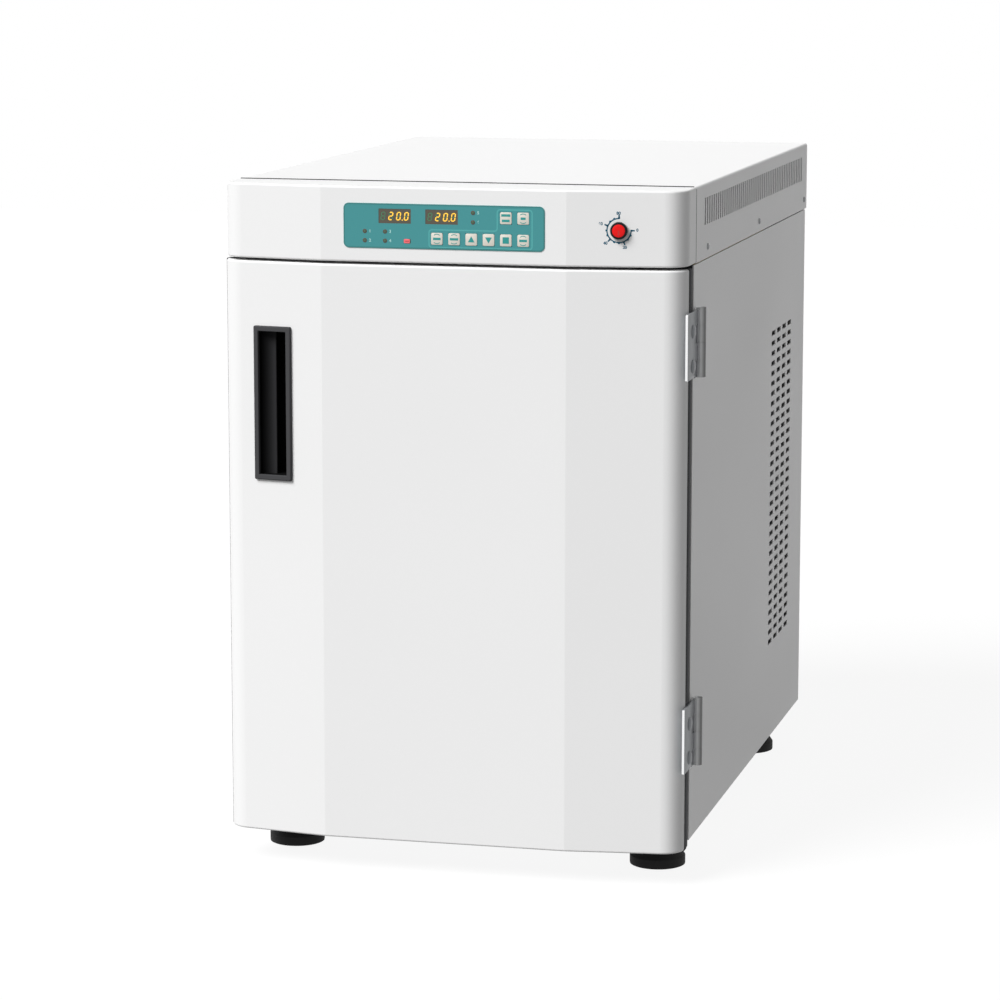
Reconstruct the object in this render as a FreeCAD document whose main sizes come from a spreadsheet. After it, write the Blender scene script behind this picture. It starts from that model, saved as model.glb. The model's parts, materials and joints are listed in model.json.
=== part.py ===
import FreeCAD, Part
import math
import os
import re
import Sketcher

# Cooled incubator: a white sheet-steel cabinet on four rubber feet, with a hinged front door, a
# faceted control housing above it, a ventilated cap behind that, and a cooling compartment at the
# back. X runs to the viewer's right, Y to the back, Z up. The origin is on the floor, under the
# middle of the cabinet.

SIZES = {
    # cap over the electronics
    "cap_width": 400,
    "cap_depth": 575,
    "cap_height": 63.5,
    "cap_edge": 2.5,
    "cover_wall": 1,
    "cover_lip": 12,
    "slot_count": 51,
    "slot_pitch": 10,
    "slot_first": 40,
    "slot_width": 5,
    "slot_length": 23,
    "slot_drop": 11.8,
    # faceted front of the control housing and the door
    "front_reach": 56,
    "front_left": 201,
    "front_right": 200,
    "fold_left": 110,
    "fold_right": 101.5,
    "slope_left": 8.4,
    "slope_right": 7.3,
    "corner_round": 20,
    "front_edge": 1.8,
    "front_wall": 1.5,
    # cabinet
    "foot_height": 33,
    "foot_radius": 24.2,
    "foot_disc": 9,
    "foot_neck": 13,
    "foot_cone": 24,
    "foot_spread": 163.7,
    "foot_front": 36.8,
    "foot_rear": 484.4,
    "panel_inset": 1,
    "panel_wall": 1,
    "panel_return": 12,
    "cabinet_front": 4.5,
    "cabinet_depth": 571,
    "deck_wall": 1.5,
    "deck_inset": 3,
    "base_wall": 1.5,
    "base_lip": 18,
    "grille_rows": 32,
    "grille_columns": 4,
    "grille_row_pitch": 9.58,
    "grille_column_pitch": 29.8,
    "grille_length": 20,
    "grille_height": 4.5,
    "grille_first": 396.4,
    "grille_drop": 167.4,
    "louvre_rows": 12,
    "louvre_pitch": 14,
    "louvre_length": 90,
    "louvre_height": 6,
    "louvre_drop": 150,
    # chamber
    "chamber_width": 300,
    "chamber_height": 395,
    "chamber_depth": 300,
    "chamber_floor": 48,
    "roof_foam": 50.5,
    "liner_wall": 1,
    "frame_thick": 8,
    "foam_back": 45,
    "duct_depth": 46,
    "duct_wall": 1,
    "duct_gap": 22,
    "air_slot_count": 12,
    "air_slot_inner": 20,
    "air_slot_outer": 46,
    "air_slot_width": 6,
    "fan_height": 250,
    "fan_gap": 5,
    "fan_radius": 46,
    "fan_width": 14,
    "fan_blades": 6,
    "blade_wall": 1.6,
    "hub_radius": 14,
    "shaft_radius": 3,
    "running_gap": 0.08,
    "shaft_passage": 6,
    "shaft_reach": 12,
    "motor_radius": 32,
    "motor_length": 42,
    "boss_length": 6,
    "heater_radius": 58,
    "heater_wall": 3,
    "heater_width": 12,
    "probe_radius": 2.5,
    "probe_length": 40,
    "probe_drop": 60,
    "probe_collar": 4,
    "coil_width": 200,
    "coil_height": 62,
    "coil_depth": 26,
    "coil_rise": 40,
    "fin_wall": 0.8,
    "coil_fins": 9,
    "coil_tubes": 2,
    "tube_thick": 3,
    "tube_margin": 5,
    # shelves and their racks
    "rack_wall": 1.2,
    "rack_ledge": 12,
    "rack_front": 24,
    "rack_length": 210,
    "rack_rise": 40,
    "rack_levels": 6,
    "rack_pitch": 60,
    "shelf_play": 1.2,
    "shelf_frame": 2.5,
    "shelf_wire": 1.6,
    "shelf_wires": 13,
    "lower_level": 1,
    "upper_level": 3,
    # cooling compartment
    "pot_radius": 60,
    "pot_height": 150,
    "pot_shoulder": 24,
    "pot_x": 88,
    "pot_y": 450,
    "pot_lift": 14,
    "pot_plate": 3,
    "pot_plate_size": 150,
    "mount_radius": 9,
    "condenser_fins": 10,
    "condenser_length": 136,
    "condenser_height": 270,
    "condenser_depth": 34,
    "condenser_tubes": 4,
    "condenser_gap": 12,
    "condenser_lift": 105,
    "shroud_wall": 2,
    "shroud_margin": 8,
    "cooling_fan_radius": 58,
    "cooling_fan_width": 16,
    "cooling_motor_radius": 24,
    "cooling_motor_length": 36,
    "motor_gap": 4,
    "tip_gap": 2,
    "ring_wall": 3,
    "shaft_depth": 14,
    "arm_radius": 3,
    "stub_offset": 20,
    "stub_reach": 6,
    "stub_wall": 2,
    "pipe_radius": 4,
    "pipe_bend": 14,
    "pipe_loop": 40,
    "pipe_rise": 50,
    "pipe_corner": 8,
    # door
    "door_gap": 2.4,
    "door_drop": 3.3,
    "door_edge": 20.8,
    "door_lap": 1,
    "door_wall": 1.2,
    "door_frame_inset": 0.4,
    "door_frame_thick": 8,
    "liner_plug": 6,
    "plug_margin": 6,
    "plug_corner": 14,
    "plug_draft": 30,
    "gasket_reach": 18,
    "gasket_width": 14,
    "gasket_gap": 0.3,
    # grip recessed in the left facet of the door
    "grip_width": 34.6,
    "grip_height": 132,
    "grip_centre": 155.1,
    "grip_drop": 186.8,
    "grip_proud": 3,
    "grip_rim": 4.4,
    "grip_wall": 2,
    "grip_depth": 26,
    "grip_lip": 13.5,
    "grip_scoop": 15,
    "grip_web": 1.8,
    "scoop_forward": 2,
    # hinges
    "hinge_out": 5,
    "hinge_back": 4.3,
    "hinge_length": 59,
    "leaf_height": 56,
    "leaf_front": 35,
    "leaf_wall": 2.2,
    "leaf_notch": 11,
    "leaf_clear": 4,
    "leaf_setback": 0.5,
    "strap_gap": 0.4,
    "strap_wall": 2,
    "tongue_lap": 4,
    "barrel_radius": 4.25,
    "pin_radius": 2.5,
    "pin_gap": 0.05,
    "knuckle_gap": 0.2,
    "hinge_upper": 130,
    "hinge_lower": 464.2,
    # keypad on the middle facet
    "pad_left": 89.9,
    "pad_right": 83.3,
    "pad_top": 14,
    "pad_height": 37.5,
    "pad_round": 4.5,
    "pad_proud": 0.5,
    "pad_margin": 3,
    "pad_play": 0.2,
    "window_width": 28,
    "window_height": 12.2,
    "window_left": 45.4,
    "window_right": 4.9,
    "window_drop": 24.5,
    "window_recess": 0.2,
    "window_margin": 1,
    "key_size": 9.9,
    "key_pitch": 14.8,
    "key_first": 8.9,
    "key_low": 42.7,
    "key_high": 24.3,
    "key_proud": 0.4,
    "key_travel": 0.4,
    "key_play": 0.15,
    "key_stem": 2,
    "key_depth": 1,
    "switch_size": 6,
    "switch_depth": 3.5,
    "switch_gap": 0.05,
    "lamp_radius": 1.8,
    "lamp_play": 0.1,
    "lamp_left": 71.4,
    "lamp_middle": 53.8,
    "lamp_right": 22.1,
    "lamp_low": 45.2,
    "lamp_mid": 37.5,
    "lamp_high": 20.4,
    "lamp_upper": 28.3,
    "bar_x": 34.6,
    "bar_width": 5.7,
    "bar_height": 3.5,
    "guide_wall": 1.5,
    "guide_margin": 4,
    "guide_room": 1,
    "board_wall": 1.6,
    "board_gap": 8,
    "board_margin": 2,
    "post_inset": 6,
    "post_size": 4,
    # knob of the over-temperature limit on the right facet
    "knob_x": 144.9,
    "knob_drop": 32.9,
    "knob_radius": 7.3,
    "knob_height": 4,
    "knob_gap": 0.4,
    "knob_dish": 0.8,
    "knob_cap": 5.7,
    "knob_cap_proud": 0.5,
    "knob_stem": 12,
    "limit_body": 26,
    "limit_depth": 22,
    # electronics on the deck and the power entry at the back
    "circuit_left": 150,
    "circuit_setback": 90,
    "circuit_length": 150,
    "circuit_width": 90,
    "circuit_lift": 8,
    "circuit_post": 8,
    "relay_length": 30,
    "relay_width": 18,
    "chip_size": 24,
    "chip_height": 4,
    "plug_length": 60,
    "plug_width": 12,
    "supply_left": 20,
    "supply_length": 120,
    "supply_width": 76,
    "supply_height": 34,
    "terminal_inset": 10,
    "terminal_depth": 6,
    "terminal_height": 14,
    "entry_x": 140,
    "entry_drop": 60,
    "entry_width": 31,
    "entry_height": 74,
    "entry_flange": 2,
    "entry_body": 26,
    "entry_depth": 30,
    "entry_rebate": 3.2,
    "entry_play": 0.2,
    "socket_width": 24,
    "socket_height": 16.5,
    "socket_depth": 17,
    "socket_drop": 20,
    "drawer_width": 16,
    "drawer_height": 9,
    "drawer_recess": 1,
    "rocker_width": 12,
    "rocker_half": 9.7,
    "rocker_tilt": 8,
    "rocker_play": 0.2,
    "rocker_rise": 22,
    "rocker_room": 12,
    "rocker_axle": 1.5,
    "rocker_sink": 2,
    "rocker_front": 4,
    "rocker_waist": 2.6,
    "rocker_edge": 1,
    "rocker_tail": 5,
}

PLACES = {
    "seam_y": "(front_reach - cap_depth) / 2",
    "front_y": "seam_y - front_reach",
    "back_y": "seam_y + cap_depth",
    "base_z": "foot_height",
    "panel_x": "cap_width / 2 - panel_inset",
    "inner_x": "panel_x - panel_wall",
    "frame_y": "seam_y - cabinet_front",
    "rear_y": "seam_y + cabinet_depth",
    "pan_z": "base_z + panel_wall",
    "pan_top": "pan_z + base_wall",
    "floor_z": "base_z + chamber_floor",
    "ceiling_z": "floor_z + chamber_height",
    "deck_z": "ceiling_z + roof_foam",
    "cover_z": "deck_z + deck_wall",
    "overall_height": "cover_z + cap_height",
    "chamber_x": "chamber_width / 2",
    "liner_y": "frame_y + frame_thick",
    "chamber_back": "frame_y + chamber_depth",
    "foam_end": "chamber_back + liner_wall + foam_back",
    "duct_y": "chamber_back - duct_depth",
    "fan_z": "floor_z + fan_height",
    "fan_y": "duct_y + duct_wall + fan_gap",
    "door_top": "cover_z - door_gap",
    "door_bottom": "base_z - door_drop",
    "door_back": "seam_y - door_edge",
    "door_left": "front_left + door_lap",
    "door_inner": "door_back + door_frame_thick",
    "hinge_x": "panel_x + hinge_out",
    "hinge_y": "seam_y + hinge_back",
    "knob_y": "front_y + (knob_x - fold_right) * tan(slope_right)",
    "knob_z": "overall_height - knob_drop",
    "grip_y": "front_y + (grip_centre - fold_left) * tan(slope_left)",
    "grip_z": "overall_height - grip_drop",
    "board_y": "front_y + front_wall + board_gap",
    "rack_x": "chamber_x - rack_wall",
    "rack_y": "liner_y + rack_front",
    "shelf_x": "rack_x - shelf_play - shelf_frame",
    "coil_y": "chamber_back - coil_depth",
    "condenser_x": "inner_x - condenser_gap - condenser_depth",
    "condenser_y": "seam_y + grille_first + 1.5 * grille_column_pitch",
    "condenser_z": "pan_top + condenser_lift + condenser_height / 2",
    "shroud_x": "condenser_x - shroud_wall",
    "port_z": "condenser_z - condenser_height / 2 + condenser_height * 0.5 / condenser_tubes",
    "entry_y": "rear_y - panel_wall",
    "entry_z": "cover_z - entry_drop",
    "rocker_z": "entry_z + rocker_rise",
    "socket_z": "entry_z - socket_drop",
}

BLADE_PITCH = 40
BAR_SIDES = 8
TURNED_SIDES = 24
KNOB_SPOT = ("knob_x", "knob_y", "knob_z")
GRIP_SPOT = ("0 - grip_centre", "grip_y", "grip_z")

ALONG = {
    "x": FreeCAD.Rotation(FreeCAD.Vector(0, 1, 0), 90),
    "y": FreeCAD.Rotation(FreeCAD.Vector(1, 0, 0), -90),
    "z": FreeCAD.Rotation(),
}

doc = FreeCAD.newDocument("CooledIncubator")
nodes = []


def formula(text, own=()):
    """Point each named size in a formula at its cell."""
    def cell(match):
        word = match.group(0)
        if word in own:
            return word
        if word in SIZES:
            return "Sizes." + word
        if word in PLACES:
            return "Places." + word
        return word
    return re.sub(r"[a-z_]+", cell, str(text))


def fill_sheet(name, cells, first=""):
    """A sheet with one named cell to a row."""
    sheet = doc.addObject("Spreadsheet::Sheet", name)
    for row, (alias, text) in enumerate(cells.items(), 1):
        sheet.set(f"A{row}", alias)
        sheet.set(f"B{row}", first + (formula(text, own=cells) if first else str(text)))
        sheet.setAlias(f"B{row}", alias)
    doc.recompute()
    return sheet


sizes = fill_sheet("Sizes", SIZES)
places = fill_sheet("Places", PLACES, "=")


def number(text):
    """The plain number that a formula gives."""
    found = places.evalExpression(formula(text))
    return float(getattr(found, "Value", found))


def bind(part, **texts):
    for prop, text in texts.items():
        part.setExpression(prop, formula(text))
    return part


def move(part, spot):
    """Tie a piece's place to three formulas."""
    for axis, text in zip("xyz", spot):
        part.setExpression("Placement.Base." + axis, formula(text))
    return part


def node(part, name):
    """Name a finished sub-part after its file."""
    part.Label = name
    nodes.append(part)
    return part


def box(name, corner, size):
    part = doc.addObject("Part::Box", name)
    bind(part, Length=size[0], Width=size[1], Height=size[2])
    return move(part, corner)


def rod(name, base, radius, length, along="z"):
    part = doc.addObject("Part::Cylinder", name)
    bind(part, Radius=radius, Height=length)
    part.Placement.Rotation = ALONG[along]
    return move(part, base)


def wire(name, base, radius, length, along):
    """Bar of a few flat sides that stands for a thin round one."""
    part = doc.addObject("Part::Prism", name)
    part.Polygon = BAR_SIDES
    bind(part, Circumradius=radius, Height=length)
    part.Placement.Rotation = ALONG[along]
    return move(part, base)


def join(name, parts):
    part = doc.addObject("Part::MultiFuse", name)
    part.Shapes = parts
    part.Refine = True
    return part


def cut(name, base, tools):
    part = doc.addObject("Part::Cut", name)
    part.Base = base
    part.Tool = tools[0] if len(tools) == 1 else join(name + "Tools", tools)
    part.Refine = True
    return part


def lay(name, part, angle, spot, about=(0, 0, 1)):
    """Set a piece that is drawn square at the origin onto a sloping face."""
    laid = doc.addObject("Part::Compound", name)
    laid.Links = [part]
    laid.Placement.Rotation = FreeCAD.Rotation(FreeCAD.Vector(*about), 1)
    laid.setExpression("Placement.Rotation.Angle", formula(angle))
    return move(laid, spot)


def new_body(name):
    return doc.addObject("PartDesign::Body", name)


def sketch(body, role, outlines, offset="0", lift="0"):
    """Closed straight-sided outlines; every corner is tied to its formulas."""
    profile = body.newObject("Sketcher::SketchObject", body.Name + "Sketch")
    support = next(face for face in body.Origin.OriginFeatures if face.Role == role)
    profile.AttachmentSupport = (support, [""])
    profile.MapMode = "FlatFace"
    profile.setExpression("AttachmentOffset.Base.y", formula(lift))
    profile.setExpression("AttachmentOffset.Base.z", formula(offset))
    for corners in outlines:
        first = profile.GeometryCount
        count = len(corners)
        points = [FreeCAD.Vector(number(x), number(y), 0) for x, y in corners]
        for i, start in enumerate(points):
            profile.addGeometry(Part.LineSegment(start, points[(i + 1) % count]))
        for i, corner in enumerate(corners):
            previous = first + (i - 1) % count
            profile.addConstraint(Sketcher.Constraint("Coincident", previous, 2, first + i, 1))
            for kind, text, at in zip(("DistanceX", "DistanceY"), corner, points[i]):
                tie = profile.addConstraint(Sketcher.Constraint(kind, -1, 1, first + i, 1, at))
                profile.setExpression(f"Constraints[{tie}]", formula(text))
    return profile


def rectangle(left, bottom, right, top):
    return [(left, bottom), (right, bottom), (right, top), (left, top)]


def grow(body, profile, length, reverse=False):
    """Pad a profile along its normal."""
    pad = body.newObject("PartDesign::Pad", body.Name + "Pad")
    pad.Profile = profile
    pad.Reversed = reverse
    bind(pad, Length=length)
    return pad


def carve(body, profile, length=None, reverse=False):
    """Cut a profile to a depth, or right through both ways without one."""
    pocket = body.newObject("PartDesign::Pocket", body.Name + "Pocket")
    pocket.Profile = profile
    pocket.Reversed = reverse
    if length is None:
        pocket.Type = "ThroughAll"
        pocket.Midplane = True
    else:
        bind(pocket, Length=length)
    return pocket


def repeat(body, feature, direction, count, pitch):
    """Repeat a feature in a straight row; direction is a sketch axis or an origin axis."""
    row = body.newObject("PartDesign::LinearPattern", body.Name + "Row")
    row.Originals = [feature]
    row.Direction = direction
    row.Mode = "Spacing"
    bind(row, Offset=pitch, Occurrences=count)
    body.Tip = row
    return row


def axis(body, role):
    return (next(line for line in body.Origin.OriginFeatures if line.Role == role), [""])


def soften(body, radius, wanted):
    """Round the edges of a body's last feature that a test picks."""
    doc.recompute()
    base = body.Tip
    names = [f"Edge{i}" for i, edge in enumerate(base.Shape.Edges, 1) if wanted(edge)]
    fillet = body.newObject("PartDesign::Fillet", body.Name + "Fillet")
    fillet.Base = (base, names)
    bind(fillet, Radius=radius)
    return fillet


def upright(edge):
    rise = edge.BoundBox.ZLength
    return rise > 1 and edge.Length < rise + 0.01


def turned(name, outline):
    """Loft through many-sided rings, given as radius and height, for a form that is turned about Z."""
    rings = []
    for i, (radius, height) in enumerate(outline):
        ring = doc.addObject("Part::RegularPolygon", f"{name}Ring{i}")
        ring.Polygon = TURNED_SIDES
        bind(ring, Circumradius=radius)
        rings.append(move(ring, ("0", "0", height)))
    form = doc.addObject("Part::Loft", name)
    form.Sections = rings
    form.Solid = True
    form.Ruled = True
    return form


def faceted(name, left, back, low, high, inset, rounded=False):
    """Plan shape of the front: a flat middle facet and one that falls back on each side."""
    body = new_body(name)
    side_left = f"0 - {left} + {inset}"
    side_right = f"front_right - {inset}"
    front = f"front_y + {inset}"
    outline = [
        (side_left, back),
        (side_left, f"{front} + ({left} - {inset} - fold_left) * tan(slope_left)"),
        ("0 - fold_left", front),
        ("fold_right", front),
        (side_right, f"{front} + (front_right - {inset} - fold_right) * tan(slope_right)"),
        (side_right, back),
    ]
    grow(body, sketch(body, "XY_Plane", [outline], low), f"{high} - ({low})")
    reach = number("front_right - corner_round")
    behind = number(back) - 1
    soften(body, f"corner_round - {inset}",
           lambda e: upright(e) and abs(e.Vertexes[0].X) > reach and e.Vertexes[0].Y < behind)
    if rounded:
        soften(body, "front_edge", lambda e: e.BoundBox.ZLength < 0.01 and e.CenterOfMass.y < behind)
    return body


def pipe(name, points, radius, bend):
    """Tube of a few flat sides along straight runs joined by tangent arcs."""
    spots = [FreeCAD.Vector(*[number(text) for text in point]) for point in points]
    lead = (spots[1] - spots[0]).normalize()
    across = lead.cross(spots[2] - spots[1]).normalize() * radius
    spokes = [FreeCAD.Rotation(lead, 360 * i / BAR_SIDES).multVec(across) for i in range(BAR_SIDES + 1)]
    section = Part.Face(Part.makePolygon([spots[0] + spoke for spoke in spokes]))
    runs = []
    start = spots[0]
    for before, corner, after in zip(spots, spots[1:], spots[2:]):
        toward = (before - corner).normalize()
        away = (after - corner).normalize()
        inside = toward.getAngle(away)
        back_off = bend / math.tan(inside / 2)
        enter = corner + toward * back_off
        centre = corner + (toward + away).normalize() * math.hypot(back_off, bend)
        turn = (centre, away.cross(toward), 180 - math.degrees(inside))
        runs.append(section.extrude(enter - start))
        section.translate(enter - start)
        runs.append(section.revolve(*turn))
        section.rotate(*turn)
        start = corner + away * back_off
    runs.append(section.extrude(spots[-1] - start))
    part = doc.addObject("Part::Feature", name)
    part.Shape = runs[0].multiFuse(runs[1:]).removeSplitter().Solids[0]
    return part


def propeller(name, spot, along, tip, width, shaft_start, shaft_end):
    """Hub with pitched flat blades and its shaft, drawn upright and then laid along an axis."""
    hub = "hub_radius"
    fan = [rod(name + "Hub", ("0", "0", "0"), hub, width),
           rod(name + "Shaft", ("0", "0", shaft_start), "shaft_radius", f"{shaft_end} - ({shaft_start})")]
    total = int(number("fan_blades"))
    for i in range(total):
        blade = doc.addObject("Part::Box", f"{name}Blade{i}")
        bind(blade, Length=f"{tip} - {hub} * 0.8", Width=f"{width} * 1.2", Height="blade_wall")
        tilt = FreeCAD.Rotation(FreeCAD.Vector(1, 0, 0), BLADE_PITCH)
        spin = FreeCAD.Rotation(FreeCAD.Vector(0, 0, 1), 360 * i / total)
        seat = FreeCAD.Vector(number(hub) * 0.8, -number(width) * 0.48, number(width) * 0.1)
        blade.Placement = FreeCAD.Placement(spin.multVec(seat), spin * tilt)
        fan.append(blade)
    wheel = join(name, fan)
    wheel.Placement.Rotation = ALONG[along]
    return move(wheel, spot)


def finned(name, corner, size, fins, tubes, run):
    """Fins across a bank of flat tubes, which run along x or y."""
    x, y, z = corner
    length, depth, height = size
    pieces = []
    fin_total = int(number(fins))
    for i in range(fin_total):
        share = f"{i} / ({fins} - 1)"
        if run == "x":
            spot = (f"{x} + ({length} - fin_wall) * {share}", y, z)
            plate = ("fin_wall", depth, height)
        else:
            spot = (x, f"{y} + ({depth} - fin_wall) * {share}", z)
            plate = (length, "fin_wall", height)
        pieces.append(box(f"{name}Fin{i}", spot, plate))
    tube_total = int(number(tubes))
    for i in range(tube_total):
        level = f"{z} + {height} * ({i} + 0.5) / ({tubes}) - tube_thick / 2"
        if run == "x":
            spot = (x, f"{y} + tube_margin", level)
            bar = (length, f"{depth} - 2 * tube_margin", "tube_thick")
        else:
            spot = (f"{x} + tube_margin", y, level)
            bar = (f"{length} - 2 * tube_margin", depth, "tube_thick")
        pieces.append(box(f"{name}Tube{i}", spot, bar))
    return join(name, pieces)


def add_cap():
    body = new_body("top_cover")
    half = "cap_width / 2"
    outer = rectangle(f"0 - {half}", "seam_y", half, "back_y")
    grow(body, sketch(body, "XY_Plane", [outer], "cover_z"), "cap_height")
    top = number("overall_height") - 0.01
    end = number("back_y") - 0.01
    seam = number("seam_y") + 0.01
    soften(body, "cap_edge", lambda e: (e.CenterOfMass.z > top and e.CenterOfMass.y > seam)
           or (upright(e) and e.CenterOfMass.y > end))
    room = rectangle(f"0 - {half} + cover_wall", "seam_y - 1", f"{half} - cover_wall", "back_y - cover_wall")
    carve(body, sketch(body, "XY_Plane", [room], "cover_z + cover_wall"),
          "cap_height - 2 * cover_wall", reverse=True)
    mouth = rectangle(f"0 - {half} + cover_lip", "seam_y - 1", f"{half} - cover_lip", "back_y - cover_lip")
    carve(body, sketch(body, "XY_Plane", [mouth], "cover_z - 1"), "cover_wall + 2", reverse=True)
    start = "seam_y + slot_first"
    slot_top = "overall_height - slot_drop"
    slot = rectangle(f"{start} - slot_width / 2", f"{slot_top} - slot_length",
                     f"{start} + slot_width / 2", slot_top)
    first = carve(body, sketch(body, "YZ_Plane", [slot]))
    repeat(body, first, axis(body, "Y_Axis"), "slot_count", "slot_pitch")
    node(body, "top_cover")


def add_side(name, sign):
    """Side sheet with a return at the back and one under the base; the right one is slotted."""
    body = new_body(name)
    outer = f"{sign} * panel_x"
    inner = f"{sign} * inner_x"
    tip = f"{sign} * (panel_x - panel_return)"
    plan = [(outer, "frame_y"), (inner, "frame_y"), (inner, "rear_y - panel_wall"),
            (tip, "rear_y - panel_wall"), (tip, "rear_y"), (outer, "rear_y")]
    if sign < 0:
        plan = plan[::-1]
    grow(body, sketch(body, "XY_Plane", [plan], "base_z"), "deck_z - base_z")
    low = [outer, tip] if sign < 0 else [tip, outer]
    flange = rectangle(low[0], "frame_y", low[1], "rear_y")
    grow(body, sketch(body, "XY_Plane", [flange], "base_z"), "panel_wall")
    if sign > 0:
        top = "overall_height - grille_drop + grille_height / 2"
        row = []
        for column in range(int(number("grille_columns"))):
            middle = f"seam_y + grille_first + {column} * grille_column_pitch"
            row.append(rectangle(f"{middle} - grille_length / 2", f"{top} - grille_height",
                                 f"{middle} + grille_length / 2", top))
        first = carve(body, sketch(body, "YZ_Plane", row, "panel_x + 1"), "panel_wall + 2")
        lines = repeat(body, first, axis(body, "Z_Axis"), "grille_rows", "grille_row_pitch")
        lines.Reversed = True
    node(body, name)


def add_back():
    body = new_body("back_panel")
    sheet = rectangle("0 - inner_x", "pan_top", "inner_x", "deck_z")
    grow(body, sketch(body, "XZ_Plane", [sheet], "0 - entry_y"), "panel_wall")
    hole = centred("0 - entry_x", "entry_z", "entry_body + 2 * entry_play",
                   "entry_height - 2 * entry_rebate + 2 * entry_play")
    carve(body, sketch(body, "XZ_Plane", [hole]))
    top = "cover_z - louvre_drop"
    pair = []
    for side in (-1, 1):
        middle = f"{side} * louvre_length * 0.65"
        pair.append(rectangle(f"{middle} - louvre_length / 2", f"{top} - louvre_height",
                              f"{middle} + louvre_length / 2", top))
    first = carve(body, sketch(body, "XZ_Plane", pair))
    lines = repeat(body, first, axis(body, "Z_Axis"), "louvre_rows", "louvre_pitch")
    lines.Reversed = True
    node(body, "back_panel")


def add_base():
    sheet = box("PanSheet", ("0 - inner_x", "frame_y", "pan_z"),
                ("2 * inner_x", "entry_y - panel_wall - frame_y", "base_wall"))
    lip = box("PanLip", ("0 - inner_x", "entry_y - panel_wall - base_wall", "pan_z"),
              ("2 * inner_x", "base_wall", "base_lip"))
    node(join("BasePan", [sheet, lip]), "base_pan")
    deck = box("Deck", ("0 - panel_x + deck_inset", "frame_y", "deck_z"),
               ("2 * (panel_x - deck_inset)", "rear_y - frame_y", "deck_wall"))
    node(deck, "top_deck")


def add_feet():
    outline = [("foot_radius", "0"), ("foot_radius", "foot_disc"), ("foot_neck", "foot_cone"),
               ("foot_neck", "foot_height + panel_wall")]
    for depth in ("front", "rear"):
        for side, sign in (("left", -1), ("right", 1)):
            foot = turned(f"foot_{depth}_{side}", outline)
            move(foot, (f"{sign} * foot_spread", f"seam_y + foot_{depth}", "0"))
            node(foot, f"foot_{depth}_{side}")


def add_chamber():
    ring = box("FrameBlock", ("0 - inner_x", "frame_y", "pan_top"),
               ("2 * inner_x", "frame_thick", "deck_z - pan_top"))
    mouth = box("FrameMouth", ("0 - chamber_x", "frame_y - 1", "floor_z"),
                ("chamber_width", "frame_thick + 2", "chamber_height"))
    node(cut("FrontFrame", ring, [mouth]), "front_frame")
    shell = box("LinerBlock", ("0 - chamber_x - liner_wall", "liner_y", "floor_z - liner_wall"),
                ("chamber_width + 2 * liner_wall", "chamber_back + liner_wall - liner_y",
                 "chamber_height + 2 * liner_wall"))
    room = box("LinerRoom", ("0 - chamber_x", "liner_y - 1", "floor_z"),
               ("chamber_width", "chamber_back - liner_y + 1", "chamber_height"))
    passage = rod("LinerPassage", ("0", "chamber_back - 1", "fan_z"), "shaft_passage", "liner_wall + 2", "y")
    node(cut("Liner", shell, [room, passage]), "inner_chamber")
    foam = box("FoamBlock", ("0 - inner_x", "liner_y", "pan_top"),
               ("2 * inner_x", "foam_end - liner_y", "deck_z - pan_top"))
    seat = box("FoamSeat", ("0 - chamber_x - liner_wall", "liner_y - 1", "floor_z - liner_wall"),
               ("chamber_width + 2 * liner_wall", "chamber_back + liner_wall - liner_y + 1",
                "chamber_height + 2 * liner_wall"))
    bore = rod("FoamBore", ("0", "chamber_back", "fan_z"), "shaft_passage", "foam_end - chamber_back + 1", "y")
    node(cut("Foam", foam, [seat, bore]), "cabinet_insulation")


def add_duct():
    """Cover over the fan and coil: a plate with side returns and a ring of air slots."""
    body = new_body("duct_cover")
    half = "(chamber_x - 1)"
    plan = [(f"0 - {half}", "duct_y"), (half, "duct_y"), (half, "chamber_back"),
            (f"{half} - duct_wall", "chamber_back"), (f"{half} - duct_wall", "duct_y + duct_wall"),
            (f"0 - {half} + duct_wall", "duct_y + duct_wall"), (f"0 - {half} + duct_wall", "chamber_back"),
            (f"0 - {half}", "chamber_back")]
    grow(body, sketch(body, "XY_Plane", [plan], "floor_z + duct_gap"), "chamber_height - 2 * duct_gap")
    slot = rectangle("air_slot_inner", "0 - air_slot_width / 2", "air_slot_outer", "air_slot_width / 2")
    profile = sketch(body, "XZ_Plane", [slot], lift="fan_z")
    first = carve(body, profile)
    ring = body.newObject("PartDesign::PolarPattern", "DuctRing")
    ring.Originals = [first]
    ring.Axis = (profile, ["N_Axis"])
    bind(ring, Occurrences="air_slot_count")
    body.Tip = ring
    node(body, "duct_cover")


def add_fan():
    """Chamber fan on a shaft that runs back through the foam to its motor."""
    wheel = propeller("Stirrer", ("0", "fan_y", "fan_z"), "y", "fan_radius", "fan_width", "1",
                      "foam_end + shaft_reach - fan_y")
    node(wheel, "circulation_fan")
    can = rod("MotorCan", ("0", "foam_end", "fan_z"), "motor_radius", "motor_length", "y")
    boss = rod("MotorBoss", ("0", "foam_end + motor_length", "fan_z"), "motor_radius / 3", "boss_length", "y")
    bore = rod("MotorBore", ("0", "foam_end - 1", "fan_z"), "shaft_radius + running_gap",
               "shaft_reach + 3", "y")
    node(cut("FanMotor", join("MotorForm", [can, boss]), [bore]), "circulation_motor")


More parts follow.
